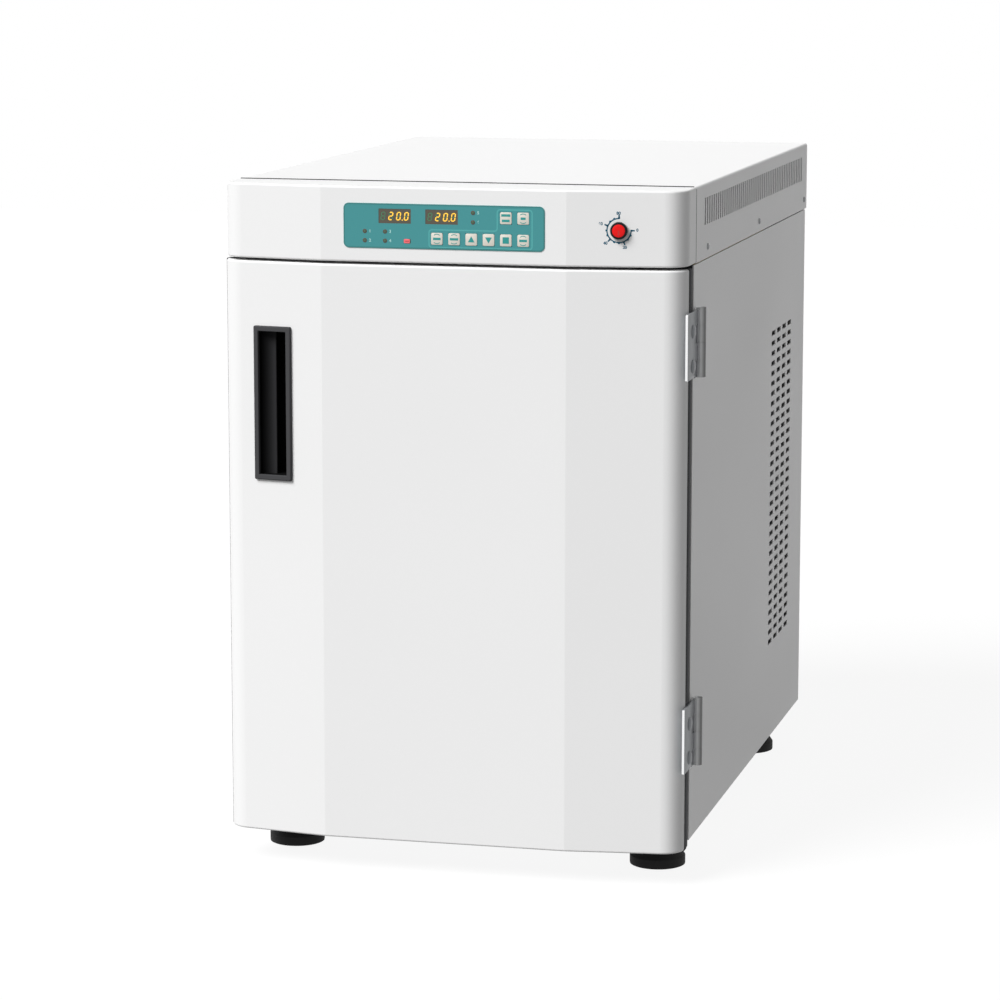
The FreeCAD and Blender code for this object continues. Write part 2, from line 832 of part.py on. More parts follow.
def add_heater():
    band = rod("HeaterBand", ("0", "fan_y", "fan_z"), "heater_radius", "heater_width", "y")
    throat = rod("HeaterThroat", ("0", "fan_y - 1", "fan_z"), "heater_radius - heater_wall",
                 "heater_width + 2", "y")
    legs = []
    for side in (-1, 1):
        leg_x = f"{side} * (heater_radius - heater_wall / 2) - heater_wall / 2"
        legs.append(box(f"HeaterLeg{side + 1}", (leg_x, "fan_y + heater_width / 2", "fan_z - heater_wall"),
                        ("heater_wall", "chamber_back - fan_y - heater_width / 2", "2 * heater_wall")))
    node(join("Heater", [cut("HeaterRing", band, [throat])] + legs), "heater")
    coil = finned("Evaporator", ("0 - coil_width / 2", "coil_y", "floor_z + coil_rise"),
                  ("coil_width", "coil_depth", "coil_height"), "coil_fins", "coil_tubes", "x")
    node(coil, "evaporator")
    across = "chamber_x * 0.7"
    level = "ceiling_z - probe_drop"
    stem = wire("ProbeStem", (across, "duct_y - probe_length", level), "probe_radius", "probe_length", "y")
    collar = wire("ProbeCollar", (across, "duct_y - probe_collar", level), "probe_radius * 2", "probe_collar", "y")
    node(join("Probe", [stem, collar]), "temperature_sensor")


def add_rack(name, sign):
    """Side rack: a pressed plate with a ledge at each shelf level."""
    body = new_body(name)
    wall = f"{sign} * chamber_x"
    face = f"{sign} * rack_x"
    tip = f"{sign} * (rack_x - rack_ledge)"
    low, high = (wall, face) if sign < 0 else (face, wall)
    rise = "floor_z + rack_rise"
    sheet = rectangle(low, "rack_y", high, "rack_y + rack_length")
    grow(body, sketch(body, "XY_Plane", [sheet], rise), "(rack_levels - 1) * rack_pitch + rack_wall")
    low, high = (face, tip) if sign < 0 else (tip, face)
    ledge = rectangle(low, "rack_y", high, "rack_y + rack_length")
    first = grow(body, sketch(body, "XY_Plane", [ledge], rise), "rack_wall")
    repeat(body, first, axis(body, "Z_Axis"), "rack_levels", "rack_pitch")
    node(body, name)


def add_shelf(name, level):
    """Wire shelf: a round-bar frame with thinner wires from front to back."""
    height = f"floor_z + rack_rise + rack_wall + {level} * rack_pitch + shelf_frame"
    front = "rack_y + shelf_frame"
    span = "(rack_length - 2 * shelf_frame)"
    wires = []
    for side in (-1, 1):
        wires.append(wire(f"{name}Side{side + 1}", (f"{side} * shelf_x", f"{front} - shelf_frame", height),
                         "shelf_frame", f"{span} + 2 * shelf_frame", "y"))
    for i, spot in enumerate((front, f"{front} + {span}")):
        wires.append(wire(f"{name}End{i}", ("0 - shelf_x", spot, height), "shelf_frame", "2 * shelf_x", "x"))
    for i in range(int(number("shelf_wires"))):
        across = f"0 - shelf_x + 2 * shelf_x * ({i} + 1) / (shelf_wires + 1)"
        wires.append(wire(f"{name}Wire{i}", (across, front, height), "shelf_wire", span, "y"))
    node(join(name, wires), name)


def add_compressor():
    pot = turned("CompressorPot", [
        ("pot_radius - pot_shoulder", "0"),
        ("pot_radius", "pot_shoulder"),
        ("pot_radius", "pot_height - pot_shoulder"),
        ("pot_radius * 0.8", "pot_height - pot_shoulder / 3"),
        ("pot_radius * 0.45", "pot_height"),
    ])
    spot_x = "0 - pot_x"
    spot_y = "seam_y + pot_y"
    move(pot, (spot_x, spot_y, "pan_top + pot_lift"))
    plate = box("CompressorPlate", (f"{spot_x} - pot_plate_size / 2", f"{spot_y} - pot_plate_size / 3",
                                    "pan_top + pot_lift - pot_plate"),
                ("pot_plate_size", "pot_plate_size / 1.5", "pot_plate"))
    feet = []
    for across in (-1, 1):
        for along in (-1, 1):
            feet.append(wire(f"CompressorFoot{across + 1}{along + 1}",
                             (f"{spot_x} + {across} * (pot_plate_size / 2 - mount_radius)",
                              f"{spot_y} + {along} * (pot_plate_size / 3 - mount_radius)", "pan_top"),
                             "mount_radius", "pot_lift + pot_plate", "z"))
    valve_z = "pan_top + pot_lift + pot_height - stub_reach"
    valve = wire("CompressorStub", (spot_x, f"{spot_y} - stub_offset", valve_z), "pipe_radius + stub_wall",
                 "2 * stub_reach", "z")
    port = wire("CompressorPort", (spot_x, spot_y, "port_z"), "pipe_radius + stub_wall",
                "pot_radius + stub_reach", "x")
    node(join("Compressor", [pot, plate, valve, port] + feet), "compressor")


def add_condenser():
    low = "condenser_z - condenser_height / 2"
    near = "condenser_y - condenser_length / 2"
    coil = finned("Condenser", ("condenser_x", near, low),
                  ("condenser_depth", "condenser_length", "condenser_height"),
                  "condenser_fins", "condenser_tubes", "y")
    node(coil, "condenser")
    sheet = box("ShroudSheet", ("shroud_x", f"{near} - shroud_margin", "pan_top"),
                ("shroud_wall", "condenser_length + 2 * shroud_margin",
                 "condenser_z + condenser_height / 2 - pan_top"))
    hub = ("condenser_y", "condenser_z")
    ring = rod("ShroudRing", ("shroud_x - cooling_fan_width", *hub), "cooling_fan_radius + tip_gap + ring_wall",
               "cooling_fan_width", "x")
    throat = rod("ShroudThroat", ("shroud_x - cooling_fan_width - 1", *hub), "cooling_fan_radius + tip_gap",
                 "cooling_fan_width + shroud_wall + 2", "x")
    body = cut("ShroudForm", join("ShroudBlock", [sheet, ring]), [throat])
    motor_x = "shroud_x - cooling_fan_width - cooling_motor_length - motor_gap"
    can = rod("CoolingMotor", (motor_x, *hub), "cooling_motor_radius", "cooling_motor_length", "x")
    arm_x = "shroud_x - cooling_fan_width - 2 * motor_gap"
    reach = "(cooling_fan_radius + tip_gap + ring_wall)"
    arms = []
    for side in (-1, 1):
        bar_y = f"condenser_y + {side} * (cooling_motor_radius - arm_radius) - arm_radius"
        arms.append(box(f"ShroudArm{side + 1}", (arm_x, bar_y, f"condenser_z - {reach}"),
                        ("arm_radius", "2 * arm_radius", f"2 * {reach}")))
        for end in (-1, 1):
            tab_z = f"condenser_z + {end} * ({reach} - ring_wall / 2) - ring_wall / 2"
            arms.append(box(f"ShroudTab{side + 1}{end + 1}", (arm_x, bar_y, tab_z),
                            ("cooling_fan_width + 2 * motor_gap", "2 * arm_radius", "ring_wall")))
    bore = rod("CoolingBore", (f"{motor_x} + cooling_motor_length - shaft_depth", *hub),
               "shaft_radius + running_gap", "shaft_depth + 2 * motor_gap", "x")
    node(cut("Shroud", join("ShroudWhole", [body, can] + arms), [bore]), "condenser_shroud")
    wheel = propeller("Cooler", ("shroud_x - cooling_fan_width", *hub), "x", "cooling_fan_radius",
                      "cooling_fan_width", "0 - shaft_depth", "1")
    node(wheel, "condenser_fan")


def add_pipes():
    radius = number("pipe_radius")
    bend = number("pipe_bend")
    stub = ("0 - pot_x", "seam_y + pot_y - stub_offset", "pan_top + pot_lift + pot_height + stub_reach")
    over = "pan_top + pot_lift + pot_height + pipe_rise"
    route = [stub, (*stub[:2], over), (stub[0], "foam_end", over)]
    node(pipe("SuctionLine", route, radius, bend), "suction_line")
    side = "seam_y + pot_y"
    near = "condenser_y + condenser_length / 2"
    across = "condenser_x + condenser_depth / 2"
    behind = f"{near} + pipe_loop"
    route = [("0 - pot_x + pot_radius + stub_reach", side, "port_z"), ("pipe_corner", side, "port_z"),
             ("pipe_corner", behind, "port_z"), (across, behind, "port_z"), (across, near, "port_z")]
    node(pipe("DischargeLine", route, radius, bend), "discharge_line")


def add_housing():
    high = "overall_height"
    outer = faceted("HousingOuter", "front_left", "seam_y", "cover_z", high, "0", rounded=True)
    inner = faceted("HousingInner", "front_left", "seam_y + 1", "cover_z + front_wall",
                    f"{high} - front_wall", "front_wall")
    low = "overall_height - pad_top - pad_height"
    window = box("HousingWindow", ("0 - pad_left + pad_margin", "front_y - 1", f"{low} + pad_margin"),
                 ("pad_left + pad_right - 2 * pad_margin", "front_wall + 2", "pad_height - 2 * pad_margin"))
    hole = rod("HousingStemHole", ("0", "-1", "0"), "shaft_radius + running_gap", "front_wall + 2", "y")
    hole = lay("HousingStemCut", hole, "slope_right", KNOB_SPOT)
    node(cut("Housing", outer, [inner, window, hole]), "control_housing")


def add_keypad():
    """Printed keypad: a rounded face sheet with a backing that fills the housing's window."""
    body = new_body("keypad_overlay")
    low = "overall_height - pad_top - pad_height"
    face = rectangle("0 - pad_left", low, "pad_right", "overall_height - pad_top")
    grow(body, sketch(body, "XZ_Plane", [face], "0 - front_y"), "pad_proud")
    soften(body, "pad_round", lambda e: len(e.Vertexes) == 2
           and abs(e.Vertexes[0].Y - e.Vertexes[1].Y) > number("pad_proud") - 0.01)
    play = "(pad_margin + pad_play)"
    plug = rectangle(f"0 - pad_left + {play}", f"{low} + {play}", f"pad_right - {play}",
                     f"overall_height - pad_top - {play}")
    grow(body, sketch(body, "XZ_Plane", [plug], "0 - front_y"), "front_wall", reverse=True)
    holes = []
    for spot in ("0 - window_left", "0 - window_right"):
        holes.append(centred(spot, "overall_height - window_drop", "window_width", "window_height"))
    side = "key_size + 2 * key_play"
    for spot, drop in key_spots():
        holes.append(centred(spot, f"overall_height - {drop}", side, side))
    for spot, drop in lamp_spots():
        holes.append(ring_outline(spot, f"overall_height - {drop}", "(lamp_radius + lamp_play)"))
    holes.append(centred("0 - bar_x", "overall_height - lamp_low", "bar_width + 2 * lamp_play",
                         "bar_height + 2 * lamp_play"))
    carve(body, sketch(body, "XZ_Plane", holes))
    node(body, "keypad_overlay")


def centred(x, z, width, height):
    return rectangle(f"{x} - ({width}) / 2", f"{z} - ({height}) / 2",
                     f"{x} + ({width}) / 2", f"{z} + ({height}) / 2")


def ring_outline(x, z, radius):
    """Outline of the same few-sided bar that wire() makes."""
    turns = [360 * i / BAR_SIDES for i in range(BAR_SIDES)]
    return [(f"{x} + {radius} * cos({turn})", f"{z} + {radius} * sin({turn})") for turn in turns]


def key_spots():
    """Six keys in the lower row and two above its right end."""
    low = [(f"{i} * key_pitch - key_first", "key_low") for i in range(6)]
    high = [(f"{i} * key_pitch - key_first", "key_high") for i in (4, 5)]
    return low + high


def lamp_spots():
    return [("0 - lamp_left", "lamp_mid"), ("0 - lamp_left", "lamp_low"),
            ("0 - lamp_middle", "lamp_mid"), ("0 - lamp_middle", "lamp_low"),
            ("lamp_right", "lamp_high"), ("lamp_right", "lamp_upper")]


def add_display():
    """Windows, lamps on one light guide, and the board behind them all."""
    behind = "front_y + front_wall"
    window_low = "overall_height - window_drop - window_height / 2"
    for name, spot in (("display_left", "window_left"), ("display_right", "window_right")):
        window_front = "front_y - pad_proud + window_recess"
        pane = box(name, (f"0 - {spot} - window_width / 2", window_front, window_low),
                   ("window_width", "pad_proud - window_recess + front_wall", "window_height"))
        node(pane, name)
    sheet = box("GuideSheet", ("0 - lamp_left - guide_margin", behind,
                               "overall_height - lamp_low - guide_margin"),
                ("lamp_left + lamp_right + 2 * guide_margin", "guide_wall",
                 "lamp_low - lamp_high + 2 * guide_margin"))
    rooms = []
    for i, (spot, drop) in enumerate(key_spots()[:3]):
        rooms.append(box(f"GuideKeyRoom{i}", (f"{spot} - key_size / 2 - guide_room", f"{behind} - 1",
                                              f"overall_height - {drop} - key_size / 2 - guide_room"),
                         ("key_size + 2 * guide_room", "guide_wall + 2", "key_size + 2 * guide_room")))
    lenses = []
    for i, (spot, drop) in enumerate(lamp_spots()):
        lenses.append(wire(f"GuideLens{i}", (spot, "front_y - pad_proud", f"overall_height - {drop}"),
                           "lamp_radius", "pad_proud + front_wall + guide_wall / 2", "y"))
    bar = box("GuideBar", ("0 - bar_x - bar_width / 2", "front_y - pad_proud",
                           "overall_height - lamp_low - bar_height / 2"),
              ("bar_width", "pad_proud + front_wall + guide_wall / 2", "bar_height"))
    node(join("LightGuide", [cut("GuidePlate", sheet, rooms), bar] + lenses), "light_guide")
    board = box("BoardSheet", ("0 - pad_left + board_margin", "board_y",
                               "overall_height - pad_top - pad_height - board_margin"),
                ("pad_left + pad_right - 2 * board_margin", "board_wall", "pad_height + board_margin"))
    extras = []
    for i, (spot, drop) in enumerate(key_spots()):
        extras.append(box(f"BoardSwitch{i}", (f"{spot} - switch_size / 2", "board_y - switch_depth",
                                              f"overall_height - {drop} - switch_size / 2"),
                          ("switch_size", "switch_depth", "switch_size")))
    for i, spot in enumerate(("window_left", "window_right")):
        extras.append(box(f"BoardDigits{i}", (f"0 - {spot} - window_width / 2 + window_margin",
                                              f"{behind} + guide_wall", f"{window_low} + window_margin"),
                          ("window_width - 2 * window_margin", "board_gap - guide_wall",
                           "window_height - 2 * window_margin")))
    for i, spot in enumerate(("0 - pad_left + post_inset", "pad_right - post_inset")):
        for j, drop in enumerate(("pad_top + post_size", "pad_top + pad_height")):
            corner = (f"{spot} - post_size / 2", behind, f"overall_height - ({drop})")
            extras.append(box(f"BoardPost{i}{j}", corner, ("post_size", "board_gap", "post_size")))
    node(join("DisplayBoard", [board] + extras), "display_board")


def add_keys():
    """Eight keys that pass through the keypad, each with a stem down to its switch."""
    for i, (spot, drop) in enumerate(key_spots(), 1):
        cap = box(f"KeyCap{i}", (f"{spot} - key_size / 2", "front_y - pad_proud - key_proud",
                                 f"overall_height - {drop} - key_size / 2"),
                  ("key_size", "pad_proud + key_proud + key_depth", "key_size"))
        stem = wire(f"KeyStem{i}", (spot, "front_y", f"overall_height - {drop}"), "key_stem",
                    "board_y - switch_depth - key_travel - switch_gap - front_y", "y")
        node(join(f"Key{i}", [cap, stem]), f"key_{i}")


def add_knob():
    """Limit knob, its inlaid cap and the limiter behind the facet, drawn square and then turned."""
    skirt = rod("KnobSkirt", ("0", "0 - knob_gap - knob_height", "0"), "knob_radius", "knob_height", "y")
    dish = rod("KnobDish", ("0", "0 - knob_gap - knob_height - 1", "0"), "knob_cap", "knob_dish + 1", "y")
    stem = rod("KnobStem", ("0", "0 - knob_gap - 1", "0"), "shaft_radius", "knob_gap + 1 + knob_stem", "y")
    knob = join("LimitKnob", [cut("KnobForm", skirt, [dish]), stem])
    cap = rod("LimitInlay", ("0", "0 - knob_gap - knob_height - knob_cap_proud", "0"), "knob_cap",
              "knob_dish + knob_cap_proud", "y")
    block = box("LimiterBlock", ("0 - limit_body / 2", "front_wall", "0 - limit_body / 2"),
                ("limit_body", "limit_depth", "limit_body"))
    bore = rod("LimiterBore", ("0", "0", "0"), "shaft_radius + running_gap", "knob_stem + 1", "y")
    limiter = cut("Limiter", block, [bore])
    for part, name in ((knob, "limit_knob"), (cap, "limit_knob_cap"), (limiter, "limit_thermostat")):
        node(lay(part.Name + "Laid", part, "slope_right", KNOB_SPOT), name)


def add_electronics():
    """Control board on posts and the power supply beside it, both on the deck."""
    lift = "cover_z + circuit_lift"
    left = "0 - circuit_left"
    near = "seam_y + circuit_setback"
    board = box("CircuitSheet", (left, near, lift), ("circuit_length", "circuit_width", "board_wall"))
    inset = "circuit_post"
    parts = [
        box("CircuitRelay", (f"{left} + {inset}", f"{near} + {inset}", lift),
            ("relay_length", "relay_width", "relay_width")),
        box("CircuitChip", (f"{left} + circuit_length / 2 - chip_size / 2",
                            f"{near} + circuit_width / 2 - chip_size / 2", lift),
            ("chip_size", "chip_size", "chip_height")),
        box("CircuitPlug", (f"{left} + circuit_length - plug_width - 2 * {inset}",
                            f"{near} + circuit_width / 2 - plug_length / 2", lift),
            ("plug_width", "plug_length", "plug_width")),
    ]
    for i, x in enumerate((left, f"{left} + circuit_length - {inset}")):
        for j, y in enumerate((near, f"{near} + circuit_width - {inset}")):
            parts.append(box(f"CircuitPost{i}{j}", (x, y, "cover_z"),
                             (inset, inset, "circuit_lift + board_wall / 2")))
    node(join("Circuit", [board] + parts), "main_board")
    case = box("SupplyCase", ("supply_left", near, "cover_z"),
               ("supply_length", "supply_width", "supply_height"))
    terminal = box("SupplyTerminal", ("supply_left + terminal_inset", f"{near} - terminal_depth", "cover_z"),
                   ("supply_length - 2 * terminal_inset", "terminal_depth", "terminal_height"))
    node(join("Supply", [case, terminal]), "power_supply")


def add_entry():
    """Power entry in the back panel: a pin socket below, a fuse drawer and a rocker above."""
    face = "entry_y + entry_flange"
    middle = "0 - entry_x"
    flange = box("EntryFlange", (f"{middle} - entry_width / 2", "entry_y", "entry_z - entry_height / 2"),
                 ("entry_width", "entry_flange", "entry_height"))
    body = box("EntryBody", (f"{middle} - entry_body / 2", "entry_y - entry_depth",
                             "entry_z - entry_height / 2 + entry_rebate"),
               ("entry_body", "entry_depth", "entry_height - 2 * entry_rebate"))
    socket = box("EntrySocket", (f"{middle} - socket_width / 2", f"{face} - socket_depth",
                                 "socket_z - socket_height / 2"),
                 ("socket_width", "socket_depth + 1", "socket_height"))
    well = box("EntryWell", (f"{middle} - rocker_width / 2 - rocker_play", f"{face} - rocker_room",
                             "rocker_z - rocker_half - rocker_edge"),
               ("rocker_width + 2 * rocker_play", "rocker_room + 1", "2 * (rocker_half + rocker_edge)"))
    drawer = box("EntryDrawer", (f"{middle} - drawer_width / 2", f"{face} - drawer_recess",
                                 "entry_z - drawer_height / 2"),
                 ("drawer_width", "drawer_recess + 1", "drawer_height"))
    form = cut("EntryForm", join("EntryWhole", [flange, body]), [socket, well, drawer])
    axle = rod("EntryAxle", (f"{middle} - rocker_width / 2 - rocker_axle", f"{face} - rocker_sink",
                             "rocker_z"), "rocker_axle", "rocker_width + 2 * rocker_axle", "x")
    node(join("Entry", [form, axle]), "power_inlet")
    body = new_body("RockerForm")
    outline = [("0 - rocker_front", "0 - rocker_tail"), ("rocker_edge", "0 - rocker_half"),
               ("rocker_front", "0 - rocker_half"), ("rocker_waist", "0"), ("rocker_front", "rocker_half"),
               ("rocker_edge", "rocker_half"), ("0 - rocker_front", "rocker_tail")]
    grow(body, sketch(body, "YZ_Plane", [outline], "0 - rocker_width / 2"), "rocker_width")
    core = rod("RockerBore", ("0 - rocker_width", "0", "0"), "rocker_axle + running_gap",
               "2 * rocker_width", "x")
    pressed = lay("RockerLaid", cut("Rocker", body, [core]), "rocker_tilt",
                  (middle, f"{face} - rocker_sink", "rocker_z"), about=(1, 0, 0))
    node(pressed, "power_switch")


def add_door():
    """Faceted steel skin round foam, with an inner frame that carries the seal."""
    skin = faceted("DoorOuter", "door_left", "door_back", "door_bottom", "door_top", "0", rounded=True)
    room = faceted("DoorRoom", "door_left", "door_back + 1", "door_bottom + door_wall", "door_top - door_wall",
                   "door_wall")
    node(cut("DoorShell", skin, [room, grip_room("ShellGrip")]), "door_shell")
    foam = faceted("DoorFoam", "door_left", "door_back", "door_bottom + door_wall", "door_top - door_wall",
                   "door_wall")
    node(cut("DoorInsulation", foam, [grip_room("FoamGrip")]), "door_insulation")
    add_liner()
    reach = "(chamber_x + gasket_reach)"
    outer = box("SealBlock", (f"0 - {reach}", "door_inner", "floor_z - gasket_reach"),
                (f"2 * {reach}", "frame_y - gasket_gap - door_inner", "chamber_height + 2 * gasket_reach"))
    throat = f"({reach} - gasket_width)"
    inner = box("SealRoom", (f"0 - {throat}", "door_inner - 1", "floor_z - gasket_reach + gasket_width"),
                (f"2 * {throat}", "frame_y - door_inner + 2",
                 "chamber_height + 2 * (gasket_reach - gasket_width)"))
    node(cut("DoorSeal", outer, [inner]), "door_gasket")


def add_liner():
    """Inner frame of the door, with a raised panel that stands inside the seal."""
    body = new_body("door_liner")
    inset = "door_frame_inset"
    sheet = rectangle(f"0 - door_left + {inset}", f"door_bottom + {inset}", f"front_right - {inset}",
                      f"door_top - {inset}")
    grow(body, sketch(body, "XZ_Plane", [sheet], "0 - door_back"), "door_frame_thick", reverse=True)
    half = "(chamber_x - plug_margin)"
    low = "floor_z + plug_margin"
    high = "ceiling_z - plug_margin"
    left = f"0 - {half}"
    plug = [(f"{left} + plug_corner", low), (f"{half} - plug_corner", low), (half, f"{low} + plug_corner"),
            (half, f"{high} - plug_corner"), (f"{half} - plug_corner", high), (f"{left} + plug_corner", high),
            (left, f"{high} - plug_corner"), (left, f"{low} + plug_corner")]
    panel = grow(body, sketch(body, "XZ_Plane", [plug], "0 - door_inner"), "liner_plug", reverse=True)
    bind(panel, TaperAngle="0 - plug_draft")
    node(body, "door_liner")


def grip_room(name):
    """Room that the grip's tub takes in the skin and the foam."""
    side = "(grip_rim - grip_wall)"
    block = box(name, (f"{side} - grip_width / 2", "-5", f"{side} - grip_height / 2"),
                (f"grip_width - 2 * {side}", "grip_depth + 5", f"grip_height - 2 * {side}"))
    return lay(name + "Laid", block, "0 - slope_left", GRIP_SPOT)


def add_grip():
    """Recessed pull: a proud rim, a deep tub and a curved lip over its left half."""
    wide = "grip_width"
    tall = "grip_height"
    mouth = "(grip_width - 2 * grip_rim)"
    clear = "(grip_height - 2 * grip_rim)"
    rim = box("GripRim", (f"0 - {wide} / 2", "0 - grip_proud", f"0 - {tall} / 2"), (wide, "grip_proud", tall))
    tub = box("GripTub", (f"0 - {mouth} / 2 - grip_wall", "0", f"0 - {clear} / 2 - grip_wall"),
              (f"{mouth} + 2 * grip_wall", "grip_depth", f"{clear} + 2 * grip_wall"))
    room = box("GripRoom", (f"0 - {mouth} / 2", "0 - grip_proud - 1", f"0 - {clear} / 2"),
               (mouth, "grip_depth - grip_wall + grip_proud + 1", clear))
    cup = cut("GripCup", join("GripBlock", [rim, tub]), [room])
    centre = (f"0 - {mouth} / 2 + grip_lip", "0 - scoop_forward", f"0 - {clear} / 2")
    outer = rod("GripOuter", centre, "grip_scoop", clear)
    inner = rod("GripInner", (*centre[:2], f"{centre[2]} - 1"), "grip_scoop - grip_web", f"{clear} + 2")
    arc = cut("GripArc", outer, [inner])
    keep = box("GripKeep", (f"0 - {mouth} / 2", "0", f"0 - {clear} / 2"), ("grip_lip", "grip_scoop", clear))
    lip = doc.addObject("Part::Common", "GripLip")
    lip.Base = arc
    lip.Tool = keep
    node(lay("GripLaid", join("Grip", [cup, lip]), "0 - slope_left", GRIP_SPOT), "handle_grip")


def add_hinge(name, drop):
    """Butt hinge: four knuckles in turn, the door's leaf on its side, the frame's leaf in the gap."""
    middle = f"(overall_height - {drop})"
    step = "hinge_length / 4"
    low = f"({middle} - hinge_length / 2)"
    leaf_low = f"({middle} - leaf_height / 2)"
    plate = box(name + "Plate", ("front_right", "seam_y - leaf_front", leaf_low),
                ("leaf_wall", "leaf_front + hinge_back", "leaf_height"))
    notches = []
    moving = []
    fixed = []
    for i in range(4):
        base = f"{low} + {i} * {step}"
        tube = rod(f"{name}Knuckle{i}", ("hinge_x", "hinge_y", f"{base} + knuckle_gap / 2"), "barrel_radius",
                   f"{step} - knuckle_gap")
        if i % 2:
            moving.append(tube)
            continue
        notches.append(box(f"{name}Notch{i}", ("front_right - 1", "seam_y - leaf_notch",
                                               f"{base} - knuckle_gap / 2"),
                           ("leaf_wall + 2", "leaf_notch + hinge_back + 1", f"{step} + knuckle_gap")))
        strap_low = f"{base} + knuckle_gap / 2"
        strap_high = f"{step} - knuckle_gap"
        fixed.append(tube)
        fixed.append(box(f"{name}Strap{i}", ("panel_x + strap_gap", "frame_y - leaf_wall", strap_low),
                         ("strap_wall", "hinge_y - frame_y + leaf_wall", strap_high)))
        fixed.append(box(f"{name}Tongue{i}", ("panel_x - tongue_lap", "frame_y - leaf_wall", strap_low),
                         ("tongue_lap + strap_gap + strap_wall", "leaf_wall", strap_high)))
    bore = rod(name + "Bore", ("hinge_x", "hinge_y", f"{low} - 1"), "pin_radius + pin_gap", "hinge_length + 2")
    whole = join(name + "Moving", [cut(name + "Leaf", plate, notches)] + moving)
    node(cut(name + "DoorLeaf", whole, [bore]), f"{name}_door_leaf")
    inner_edge = "(chamber_x + gasket_reach + leaf_clear)"
    flat = box(name + "Flat", (inner_edge, "frame_y - leaf_wall", leaf_low),
               (f"panel_x - leaf_setback - {inner_edge}", "leaf_wall", "leaf_height"))
    pin = rod(name + "Pin", ("hinge_x", "hinge_y", low), "pin_radius", "hinge_length - 1")
    node(join(name + "FrameLeaf", [flat, pin] + fixed), f"{name}_frame_leaf")


def check_and_write():
    """Stop on any failed object or broken solid, then write one file for each sub-part."""
    doc.recompute()
    for part in doc.Objects:
        if "Invalid" in part.State or "Error" in part.State:
            raise RuntimeError(f"{part.Name} failed: {part.State}")
    for part in nodes:
        if part.Shape.isNull() or not part.Shape.isValid():
            raise RuntimeError(f"{part.Label} has no sound shape")
    os.makedirs("parts", exist_ok=True)
    for part in nodes:
        part.Shape.exportStep(f"parts/{part.Label}.step")
        print(f"{part.Label}: {len(part.Shape.Solids)} solid, {part.Shape.Volume:.0f} mm3")


add_cap()
add_side("left_side_panel", -1)
add_side("right_side_panel", 1)
add_back()
add_base()
add_feet()
add_chamber()
add_duct()
add_fan()
add_heater()
add_rack("shelf_rack_left", -1)
add_rack("shelf_rack_right", 1)
add_shelf("shelf_lower", "lower_level")
add_shelf("shelf_upper", "upper_level")
add_compressor()
add_condenser()
add_pipes()
add_housing()
add_keypad()
add_display()
add_keys()
add_knob()
add_electronics()
add_entry()
add_door()
add_grip()
add_hinge("hinge_upper", "hinge_upper")
add_hinge("hinge_lower", "hinge_lower")
check_and_write()
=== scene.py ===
"""Looks of a cooled bench incubator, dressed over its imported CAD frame.

Tables and drawings are in millimetres; finished meshes are in metres, in the frame's own axes.
"""
import json
import math

import bmesh
import bpy
from mathutils import Matrix, Vector


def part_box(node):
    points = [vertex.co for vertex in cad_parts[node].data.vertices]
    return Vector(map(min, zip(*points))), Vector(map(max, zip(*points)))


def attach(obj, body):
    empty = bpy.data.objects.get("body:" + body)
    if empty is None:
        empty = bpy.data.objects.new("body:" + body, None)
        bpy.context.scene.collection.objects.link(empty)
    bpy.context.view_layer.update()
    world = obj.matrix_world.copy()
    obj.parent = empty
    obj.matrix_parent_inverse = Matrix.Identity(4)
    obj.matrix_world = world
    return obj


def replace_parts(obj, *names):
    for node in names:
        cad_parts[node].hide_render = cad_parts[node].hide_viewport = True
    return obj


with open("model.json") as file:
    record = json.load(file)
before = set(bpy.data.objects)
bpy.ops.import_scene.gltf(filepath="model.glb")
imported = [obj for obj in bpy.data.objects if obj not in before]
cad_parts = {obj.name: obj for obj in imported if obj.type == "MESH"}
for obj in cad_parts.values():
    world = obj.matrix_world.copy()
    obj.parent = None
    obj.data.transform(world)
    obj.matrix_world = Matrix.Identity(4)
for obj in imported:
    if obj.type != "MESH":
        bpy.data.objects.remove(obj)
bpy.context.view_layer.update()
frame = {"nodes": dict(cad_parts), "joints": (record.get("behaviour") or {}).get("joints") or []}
NODES = frame["nodes"]

MM = 0.001
# Thickness of a printed film, and the planes of the cabinet that pieces are set against.
PRINT = 0.05
FRONT_Y = -315.5
GAP_Y = -264
SEAM_Y = -259.5
SIDE_X = 200
TOP_Z = 591.5
# How far the door's outer facets turn from the front, in degrees.
SLOPE_LEFT = 8.4
SLOPE_RIGHT = 7.3


def facet(spot, degrees):
    """Drawing plane of an upright face: X across it, -Y out of it, Z up, turned about Z."""
    return Matrix.Translation(spot) @ Matrix.Rotation(math.radians(degrees), 4, "Z")


def tilt(degrees, axis):
    """A turn about one axis."""
    return Matrix.Rotation(math.radians(degrees), 4, axis)


KEYPAD = facet((0, FRONT_Y - 0.5, TOP_Z), 0)
DIAL_SPOT = next(Vector(joint["pos_m"]) / MM for joint in frame["joints"] if joint["name"] == "limit_turn")
DIAL = facet(DIAL_SPOT, SLOPE_RIGHT)
GRIP = facet((-155.1, -308.84, 404.7), -SLOPE_LEFT)
ENTRY = facet((-140, 312.5, 468), 180)
ROCKER = Matrix.Translation((-140, 310.5, 490)) @ tilt(8, "X")


def linear(code):
    """An sRGB hex colour as the linear RGBA that the nodes want."""
    shades = [int(code[i:i + 2], 16) / 255 for i in (1, 3, 5)]
    return (*[c / 12.92 if c <= 0.04045 else ((c + 0.055) / 1.055) ** 2.4 for c in shades], 1)


